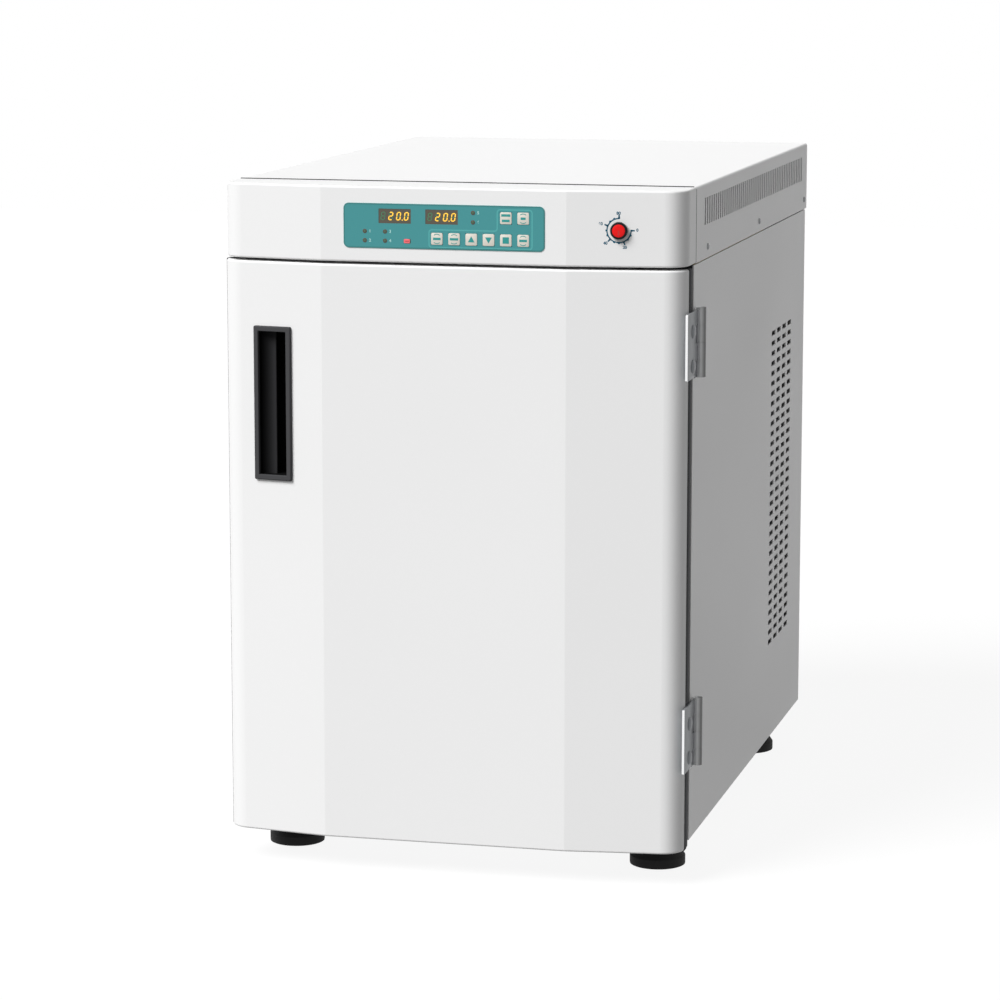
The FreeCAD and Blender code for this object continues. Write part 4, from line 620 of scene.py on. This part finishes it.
def add_lamps():
    """Small round lenses with a greenish diode under the middle, and one lit bar."""
    lenses = bmesh.new()
    diodes = bmesh.new()
    for x, z in LAMPS:
        seat = KEYPAD @ Matrix.Translation((x, 0, z)) @ tilt(90, "X")
        lathe(lenses, [(0, -0.3), (1.8, -0.3), (1.8, 0.12), (1.6, 0.3), (0.9, 0.42), (0, 0.45)], seat, 24)
        lathe(diodes, [(0, 0.4), (0.85, 0.4), (0.7, 0.52), (0, 0.56)], seat, 16)
    settle("lamp_lenses", lenses, LENS_DARK, "cabinet")
    settle("lamp_diodes", diodes, LENS_CORE, "cabinet")
    bm = bmesh.new()
    front = raise_shape(bm, rounded(rectangle(*BAR_LENS), 0.5), -0.35, 0.1, KEYPAD)[0]
    soften(bm, [front], 0.15, 2)
    settle("bar_lamp", bm, LENS_RED, "cabinet")
    bm = bmesh.new()
    raise_shape(bm, rounded(rectangle(*BAR_FILAMENT), 0.2), -0.38, -0.3, KEYPAD)
    settle("bar_lamp_filament", bm, LENS_STRIP, "cabinet")
    bm = bmesh.new()
    raise_shape(bm, rounded(rectangle(*BAR_END), 0.15), -0.3, 0.1, KEYPAD)
    settle("bar_lamp_end", bm, LENS_DARK, "cabinet")


DIAL_RADIUS = 10
DIAL_START = 90
KNOB_RIBS = 40


def add_dial(arc_tree):
    """Ring of the limit dial, open from the top to the right, with its marks and plain numbers."""
    bm = bmesh.new()
    stroke(bm, arc(0, 0, DIAL_RADIUS, DIAL_START, 360, 54), 1.05, DIAL)
    settle("dial_ring", bm, DIAL_INK, "cabinet")
    upright = to_metres(DIAL @ tilt(90, "X"))
    for name, count, pitch, reach, width in (("dial_small_marks", 13, 22.5, 11.2, 1.5),
                                             ("dial_long_marks", 5, 67.5, 13, 1.2)):
        bm = bmesh.new()
        raise_shape(bm, rectangle(9.6, -0.03, reach, PRINT + 0.01), -width / 2, width / 2)
        mark = pattern(name + "_one", bm)
        grown(name, arc_tree, {"Thing": mark, "Count": count, "First": math.radians(DIAL_START),
                               "Pitch": math.radians(pitch)}, DIAL_INK, "cabinet", upright)
        bpy.data.objects.remove(mark)
    spots = ((-0.4, 14.2), (-15.3, 5.4), (-11.2, -10.6), (4.9, -13.9), (15.2, 0.4))
    print_figures("dial_figures", list(zip(("80", "60", "40", "20", "0"), spots)), 3.4, 0.14, DIAL, DIAL_INK)


def add_knob(arc_tree):
    """Low knob with a ribbed black skirt and a red cap that carries a pressed pointer line."""
    out = DIAL @ tilt(90, "X")
    bm = bmesh.new()
    lathe(bm, [(0, 0.4), (6.9, 0.4), (7.1, 0.6), (7.1, 4), (6.95, 4.25), (6.7, 4.4), (5.5, 4.4), (5.4, 3.6),
               (0, 3.6)], out, 72)
    lathe(bm, [(0, -13.5), (3, -13.5), (3, 0.6), (0, 0.6)], out, 24)
    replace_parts(settle("knob_skirt", bm, KNOB_BLACK, "limit_knob"), "limit_knob")
    bm = bmesh.new()
    raise_shape(bm, rectangle(6.9, 0.7, 7.3, 3.7), -0.15, 0.15)
    rib = pattern("knob_rib", bm)
    grown("knob_ribs", arc_tree, {"Thing": rib, "Count": KNOB_RIBS, "First": 0.0,
                                  "Pitch": math.radians(360 / KNOB_RIBS)}, KNOB_BLACK, "limit_knob",
          to_metres(out))
    bpy.data.objects.remove(rib)
    bm = bmesh.new()
    lathe(bm, [(0, 3.55), (5.35, 3.55), (5.35, 4.5), (5.2, 4.7), (4.8, 4.82), (3, 4.9), (0, 4.9)], out, 64)
    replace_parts(settle("knob_cap", bm, KNOB_RED, "limit_knob"), "limit_knob_cap")
    bm = bmesh.new()
    stroke(bm, [(0, 0.4), (0, -4)], 1.4, DIAL @ Matrix.Translation((0, -4.9, 0)), near=-0.03, far=0.3)
    settle("knob_pointer", bm, KNOB_LINE, "limit_knob")


RIM_HALF = (17.3, 66)
TUB_HALF = (14.9, 63.6)
LIP_HALF = 61.6
LIP_CENTRE = (-1.3, -6.3)
LIP_END = (-1.3, 7.9)


def add_grip():
    """Recessed pull: a bevelled rim, a deep tub and a curved lip with a rounded free edge."""
    bm = bmesh.new()
    section = [(0, 0), (0, -1.9), (0.25, -2.5), (0.9, -3), (3.9, -3), (4.25, -2.8), (4.4, -2.4), (4.4, 0)]
    sweep_frame(bm, *RIM_HALF, section, 1.2, GRIP)
    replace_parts(settle("grip_rim", bm, PULL_RIM, "door", 24), "handle_grip")
    bm = bmesh.new()
    section = [(0, 0), (0, 25), (1, 26), (3, 26), (3, 24), (2, 23), (2, 0)]
    sweep_frame(bm, *TUB_HALF, section, 1, GRIP)
    raise_shape(bm, rectangle(-13.4, -62.1, 13.4, 62.1), 24, 25.8, GRIP)
    settle("grip_tub", bm, PULL_TUB_PAINTED_SHADE, "door")
    inner = arc(*LIP_CENTRE, 13.3, 143, 90, 14)
    tip = arc(*LIP_END, 0.9, -90, 90, 6)[1:-1]
    outer = arc(*LIP_CENTRE, 15.1, 90, 135, 12)
    bm = bmesh.new()
    raise_shape(bm, inner + tip + outer, -LIP_HALF, LIP_HALF, GRIP @ tilt(-90, "X"))
    settle("grip_lip", bm, PULL_LIP_PAINTED_SHADE, "door", 24)


# Middle height of each hinge, height of a knuckle with its gap, and the upright pivot line they share.
HINGES = {"upper": 461.5, "lower": 127.3}
KNUCKLE = 14.75
KNUCKLE_GAP = 0.08
ROLL_INNER = 2.55
ROLL_OUTER = 4.25
PIVOT = (204, -255.2)
LEAF_HALF = 28
LEAF_THICK = 2.2
LEAF_FRONT = -47.8
SCREW_STEP = 29.4


def add_knuckles(bm, middle, levels):
    """Rolled tubes round the pivot, one at each given level, with broken end edges."""
    for level in levels:
        low = middle + KNUCKLE * (level - 2) + KNUCKLE_GAP / 2
        high = low + KNUCKLE - KNUCKLE_GAP
        broken = 0.12
        profile = [(ROLL_INNER, low), (ROLL_OUTER - broken, low), (ROLL_OUTER, low + broken),
                   (ROLL_OUTER, high - broken), (ROLL_OUTER - broken, high), (ROLL_INNER, high)]
        lathe(bm, profile, Matrix.Translation((*PIVOT, 0)), 40, hollow=True)


def coat_knuckles(piece):
    """Gives the rolled tubes of a leaf their own finish, with its painted highlight and shade."""
    piece.data.materials.append(HINGE_ROLL_PAINTED_HIGHLIGHT)
    for face in piece.data.polygons:
        if (face.center.xy / MM - Vector(PIVOT)).length < ROLL_OUTER + 0.15:
            face.material_index = len(piece.data.materials) - 1


def add_hinge(which, row_tree, screw):
    """Butt hinge: a leaf on the door's side, and one in the gap whose straps turn the cabinet's corner."""
    middle = HINGES[which]
    bm = bmesh.new()
    side = facet((SIDE_X, PIVOT[1], middle), 90)
    outline = [(LEAF_FRONT, -LEAF_HALF), (-15.3, -LEAF_HALF), (-15.3, -14.6), (-2.4, -14.6), (-2.4, -0.1),
               (-15.3, -0.1), (-15.3, 14.9), (-2.4, 14.9), (-2.4, LEAF_HALF), (LEAF_FRONT, LEAF_HALF)]
    rings = raise_shape(bm, rounded(outline, 1.6, 3), -LEAF_THICK, 0, side)
    soften(bm, rings, 0.35, 2)
    add_knuckles(bm, middle, (1, 3))
    plate = settle(f"hinge_{which}_door_side", bm, HINGE_STEEL, "door", 24)
    # The leaf's front edge, which faces forward, is polished, and its near-white finish paints a highlight
    # there.
    plate.data.materials.append(HINGE_EDGE_HIGHLIGHT)
    for face in plate.data.polygons:
        if face.normal.y < -0.55 and face.center.y < -280 * MM:
            face.material_index = 1
    coat_knuckles(plate)
    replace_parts(plate, f"hinge_{which}_door_leaf")

    bm = bmesh.new()
    outline = rectangle(172, -LEAF_HALF, 198.5, LEAF_HALF)
    rings = raise_shape(bm, rounded(outline, 2, 3), -LEAF_THICK, 0, facet((0, GAP_Y, middle), 0))
    soften(bm, rings, 0.3, 2)
    near = GAP_Y - LEAF_THICK
    strap = [(195, near), (201.4, near), (201.4, -256), (199.4, -256), (199.4, GAP_Y), (195, GAP_Y)]
    for level in (0, 2):
        low = middle + KNUCKLE * (level - 2) + 0.1
        raise_shape(bm, strap, -low - KNUCKLE + 0.2, -low, tilt(-90, "X"))
    add_knuckles(bm, middle, (0, 2))
    pin = [(0, middle - 29.5), (2.2, middle - 29.5), (2.5, middle - 29.2), (2.5, middle + 28.2),
           (2.2, middle + 28.5), (0, middle + 28.5)]
    lathe(bm, pin, Matrix.Translation((*PIVOT, 0)), 32)
    bmesh.ops.recalc_face_normals(bm, faces=bm.faces)
    leaf = settle(f"hinge_{which}_frame_side", bm, HINGE_STEEL, "cabinet", 24)
    coat_knuckles(leaf)
    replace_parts(leaf, f"hinge_{which}_frame_leaf")
    for name, spot, turn, body in (("door", (SIDE_X + LEAF_THICK, -281.5, middle - 17.7), (0, 90, 0), "door"),
                                   ("frame", (185, near, middle - 14.7), (90, 0, 0), "cabinet")):
        values = {"Thing": screw, "Count": 2, "Start": [c * MM for c in spot],
                  "Step": (0, 0, SCREW_STEP * MM), "Turn": [math.radians(c) for c in turn]}
        grown(f"hinge_{which}_{name}_screws", row_tree, values, HINGE_STEEL, body)


def add_door_edge():
    """Lip of the door's plastic frame, which folds over the back edge of the steel skin."""
    near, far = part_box("door_shell")
    near, far = near / MM, far / MM
    middle = (near + far) / 2
    section = [(0, 0), (0, -7.3), (0.25, -7.7), (1.2, -7.7), (1.2, 0)]
    proud = 0.3
    bm = bmesh.new()
    sweep_frame(bm, (far.x - near.x) / 2 + proud, (far.z - near.z) / 2 + proud, section, 1,
                facet((middle.x, far.y, middle.z), 0))
    settle("door_frame_lip", bm, ABS_GREY, "door")


def add_seam():
    """Thin dark strip between the control housing and the cap behind it, over the top and down both sides; its
    black paints the shadow of the gap there.
    """
    bm = bmesh.new()
    for side in (-1, 1):
        raise_shape(bm, rectangle(-0.4, 529, 0.4, TOP_Z - 1.5), -0.15, 0.3,
                    facet((SIDE_X * side, SEAM_Y, 0), 90 * side))
    raise_shape(bm, rectangle(-198, -0.4, 198, 0.4), -0.7, 0.3,
                Matrix.Translation((0, SEAM_Y, TOP_Z)) @ tilt(-90, "X"))
    settle("housing_seam", bm, SEAL_AND_SEAM_SHADOW, "cabinet")


def add_feet():
    """Turned rubber feet: a neck under the pan, a long cone and a flat disc."""
    for name in ("foot_front_left", "foot_front_right", "foot_rear_left", "foot_rear_right"):
        near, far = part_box(name)
        middle = (near + far) / 2 / MM
        bm = bmesh.new()
        profile = [(0, 0), (23, 0), (24, 0.5), (24.2, 1.4), (24.2, 8), (23.6, 9), (13.6, 23.4), (13, 24.4),
                   (13, 34), (0, 34)]
        lathe(bm, profile, Matrix.Translation((middle.x, middle.y, 0)), 64)
        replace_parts(settle(name + "_rubber", bm, RUBBER, "cabinet", 24), name)


def add_seal():
    """Bellows section of the door seal, swept round the inner panel."""
    near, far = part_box("door_gasket")
    near, far = near / MM, far / MM
    deep = far.y - near.y
    middle = (near + far) / 2
    section = [(14, 0), (0, 0), (0, 1.4), (2.4, 2.2), (2.4, 3), (0.4, 3.9), (0.2, 6.4), (1.4, deep - 0.4),
               (3.4, deep), (10.6, deep), (12.6, deep - 0.4), (13.8, 6.4), (13.6, 3.9), (11.6, 3), (11.6, 2.2),
               (14, 1.4)]
    bm = bmesh.new()
    sweep_frame(bm, (far.x - near.x) / 2, (far.z - near.z) / 2, section, 3,
                facet((middle.x, near.y, middle.z), 0))
    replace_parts(settle("seal_bellows", bm, SEAL_AND_SEAM_SHADOW, "door", 40), "door_gasket")


def add_shelves():
    """Two wire shelves, each as large as its solid and with its wires spread evenly."""
    tree = make_shelf_tree()
    wires = 13
    for name in ("shelf_lower", "shelf_upper"):
        near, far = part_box(name)
        bar = (far.z - near.z) / 2
        width = far.x - near.x - 2 * bar
        values = {"Width": width, "Depth": far.y - near.y - 2 * bar, "Corner": 6 * MM, "Bar": bar,
                  "Wire": 1.6 * MM, "Wires": wires, "Pitch": width / (wires + 1)}
        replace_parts(grown(name + "_wires", tree, values, WIRE, "cabinet",
                          Matrix.Translation((near + far) / 2)), name)


def make_screw(name, radius, rise):
    """Domed head with a cross recess, standing on local Z."""
    bm = bmesh.new()
    profile = [(0, -0.3), (1, -0.3), (1, 0.15), (0.92, 0.45), (0.72, 0.8), (0.4, 0.96), (0, 1)]
    lathe(bm, [(r * radius, h * rise if h > 0 else h) for r, h in profile], Matrix(), 24)
    head = pattern(name, bm)
    bm = bmesh.new()
    for long, wide in ((0.5, 0.11), (0.11, 0.5)):
        groove = rectangle(-long * radius, rise * 0.5, long * radius, rise + 1)
        raise_shape(bm, groove, -wide * radius, wide * radius)
    tool = pattern(name + "_recess", bm)
    cut = head.modifiers.new("recess", "BOOLEAN")
    cut.operation = "DIFFERENCE"
    cut.solver = "EXACT"
    cut.object = tool
    bpy.context.view_layer.update()
    mesh = bpy.data.meshes.new_from_object(head.evaluated_get(bpy.context.evaluated_depsgraph_get()))
    head.modifiers.remove(cut)
    head.data = mesh
    bpy.data.objects.remove(tool)
    return head


# Each row: how many, the first one's place, the step to the next, and the turn of a head out of its face.
SCREW_ROWS = {
    "cap_screws_right": (3, (SIDE_X, -208, 537.5), (0, 252.7, 0), (0, 90, 0)),
    "cap_screws_left": (3, (-SIDE_X, -208, 537.5), (0, 252.7, 0), (0, -90, 0)),
    "cap_screws_back": (3, (-150, 315.5, 536.5), (150, 0, 0), (-90, 0, 0)),
    "back_screws_left": (4, (-192, 311.5, 60), (0, 0, 145), (-90, 0, 0)),
    "back_screws_right": (4, (192, 311.5, 60), (0, 0, 145), (-90, 0, 0)),
    "duct_screws_left": (3, (-141, -10, 96), (0, 0, 182), (90, 0, 0)),
    "duct_screws_right": (3, (141, -10, 96), (0, 0, 182), (90, 0, 0)),
}


def add_screws(row_tree, screw):
    """Rows of small screws on the cap, the back and the duct cover."""
    for name, (count, start, step, turn) in SCREW_ROWS.items():
        values = {"Thing": screw, "Count": count, "Start": [c * MM for c in start],
                  "Step": [c * MM for c in step], "Turn": [math.radians(c) for c in turn]}
        grown(name, row_tree, values, ZINC, "cabinet")


def add_entry():
    """What a hand or a plug meets at the inlet: three pins, the fuse drawer's face and the rocker's signs."""
    bm = bmesh.new()
    for x, z in ((-7, -22), (7, -22), (0, -18)):
        front = raise_shape(bm, rectangle(x - 1, z - 2, x + 1, z + 2), 3, 17.5, ENTRY)[0]
        soften(bm, [front], 0.5, 2)
    settle("inlet_pins", bm, PIN_METAL, "cabinet")
    bm = bmesh.new()
    front = raise_shape(bm, rounded(rectangle(-7.7, -4.2, 7.7, 4.2), 0.6), 0.2, 1.2, ENTRY)[0]
    soften(bm, [front], 0.2, 2)
    front = raise_shape(bm, rounded(rectangle(-4, 1.6, 4, 2.8), 0.5), -0.6, 0.4, ENTRY)[0]
    soften(bm, [front], 0.25, 2)
    settle("fuse_drawer_face", bm, NYLON, "cabinet")
    bm = bmesh.new()
    upper = ROCKER @ Matrix.Translation((0, 3.3, 4.85)) @ tilt(-8.2, "X") @ tilt(180, "Z")
    stroke(bm, [(0, -2.3), (0, 2.3)], 0.9, upper)
    lower = ROCKER @ Matrix.Translation((0, 3.3, -4.85)) @ tilt(8.2, "X") @ tilt(180, "Z")
    stroke(bm, arc(0, 0, 2.1, 0, 345, 23), 0.8, lower, closed=True)
    settle("rocker_signs", bm, WHITE_INK, "power_switch")


# Where the photograph was taken from, in metres and degrees, and its lens on a 36 mm wide sensor.
CAMERA_SPOT = (0.77432, -3.24806, 0.82889)
CAMERA_TURN = (80.631, -0.0255, 13.9655)
LENS_MM = 131.286
# Strengths of what lights matt faces: the room, the paper below and the lamp, with the way its light travels.
ROOM_LIGHT = 0.22
PAPER_LIGHT = 0.27
LAMP_LIGHT = 3.72
LAMP_WAY = (0.436, 0.589, -0.681)
# What the paper shows to the eye: a glow of its own, and a shade on which the lamp leaves a soft shadow.
PAPER_GLOW = 0.9
PAPER_SHADE = "#5E5E5E"
WHITE = (1, 1, 1, 1)


def add_camera():
    """The photograph's own view, from the right of the front and a little above."""
    data = bpy.data.cameras.new("camera")
    data.sensor_width = 36
    data.lens = LENS_MM
    data.clip_start = 0.1
    data.clip_end = 50
    eye = bpy.data.objects.new("camera", data)
    bpy.context.scene.collection.objects.link(eye)
    eye.location = CAMERA_SPOT
    eye.rotation_euler = [math.radians(turn) for turn in CAMERA_TURN]
    bpy.context.scene.camera = eye


def looked_at(tree):
    """1 for a ray of the camera, also by way of a reflection or glass; 0 for one that lights a matt face."""
    path = add(tree, "ShaderNodeLightPath").outputs
    straight = add(tree, "ShaderNodeMath", {0: path["Is Camera Ray"], 1: path["Is Glossy Ray"]},
                   operation="MAXIMUM")
    return add(tree, "ShaderNodeMath", {0: straight.outputs[0], 1: path["Is Transmission Ray"]},
               operation="MAXIMUM").outputs[0]


def add_studio():
    """White room to the eye, a dimmer one as a source of light, and one broad lamp high on the left."""
    world = bpy.data.worlds.new("studio")
    bpy.context.scene.world = world
    world.use_nodes = True
    tree = world.node_tree
    tree.nodes.clear()
    dim = add(tree, "ShaderNodeBackground", {"Color": WHITE, "Strength": ROOM_LIGHT})
    plain = add(tree, "ShaderNodeBackground", {"Color": WHITE, "Strength": 1.0})
    mix = add(tree, "ShaderNodeMixShader", {0: looked_at(tree), 1: dim.outputs[0], 2: plain.outputs[0]})
    add(tree, "ShaderNodeOutputWorld", {"Surface": mix.outputs[0]})

    data = bpy.data.lights.new("broad_lamp", "SUN")
    data.energy = LAMP_LIGHT
    data.angle = math.radians(30)
    lamp = bpy.data.objects.new("broad_lamp", data)
    lamp.rotation_euler = Vector(LAMP_WAY).to_track_quat("-Z", "Y").to_euler()
    bpy.context.scene.collection.objects.link(lamp)

    bm = bmesh.new()
    bmesh.ops.create_grid(bm, x_segments=1, y_segments=1, size=6)
    mesh = bpy.data.meshes.new("stage_floor")
    bm.to_mesh(mesh)
    bm.free()
    paper = bpy.data.materials.new("matt white paper")
    paper.use_nodes = True
    tree = paper.node_tree
    tree.nodes.clear()
    even = add(tree, "ShaderNodeEmission", {"Color": WHITE, "Strength": PAPER_LIGHT})
    shade = add(tree, "ShaderNodeBsdfDiffuse", {"Color": linear(PAPER_SHADE)})
    glow = add(tree, "ShaderNodeEmission", {"Color": WHITE, "Strength": PAPER_GLOW})
    seen = add(tree, "ShaderNodeAddShader", {0: shade.outputs[0], 1: glow.outputs[0]})
    mix = add(tree, "ShaderNodeMixShader", {0: looked_at(tree), 1: even.outputs[0], 2: seen.outputs[0]})
    add(tree, "ShaderNodeOutputMaterial", {"Surface": mix.outputs[0]})
    mesh.materials.append(paper)
    floor = bpy.data.objects.new("stage_floor", mesh)
    floor.location.z = -0.0002
    bpy.context.scene.collection.objects.link(floor)
    bpy.context.scene.view_settings.view_transform = "Standard"


add_camera()
add_studio()
round_row = make_arc_tree()
straight_row = make_row_tree()
small_screw = make_screw("small_screw", 2.8, 1.5)
hinge_screw = make_screw("hinge_screw", 5.8, 2.4)
add_membrane_print()
add_digits()
add_keys()
add_lamps()
print_figures("lamp_figures", [(str(i), (x + 4.5, z)) for i, (x, z) in enumerate(LAMPS, 1)], 3.5, 0.12, KEYPAD,
              FIGURE_INK)
add_dial(round_row)
add_knob(round_row)
add_grip()
add_hinge("upper", straight_row, hinge_screw)
add_hinge("lower", straight_row, hinge_screw)
add_door_edge()
add_seam()
add_feet()
add_seal()
add_shelves()
add_screws(straight_row, small_screw)
add_entry()
bpy.data.objects.remove(small_screw)
bpy.data.objects.remove(hinge_screw)
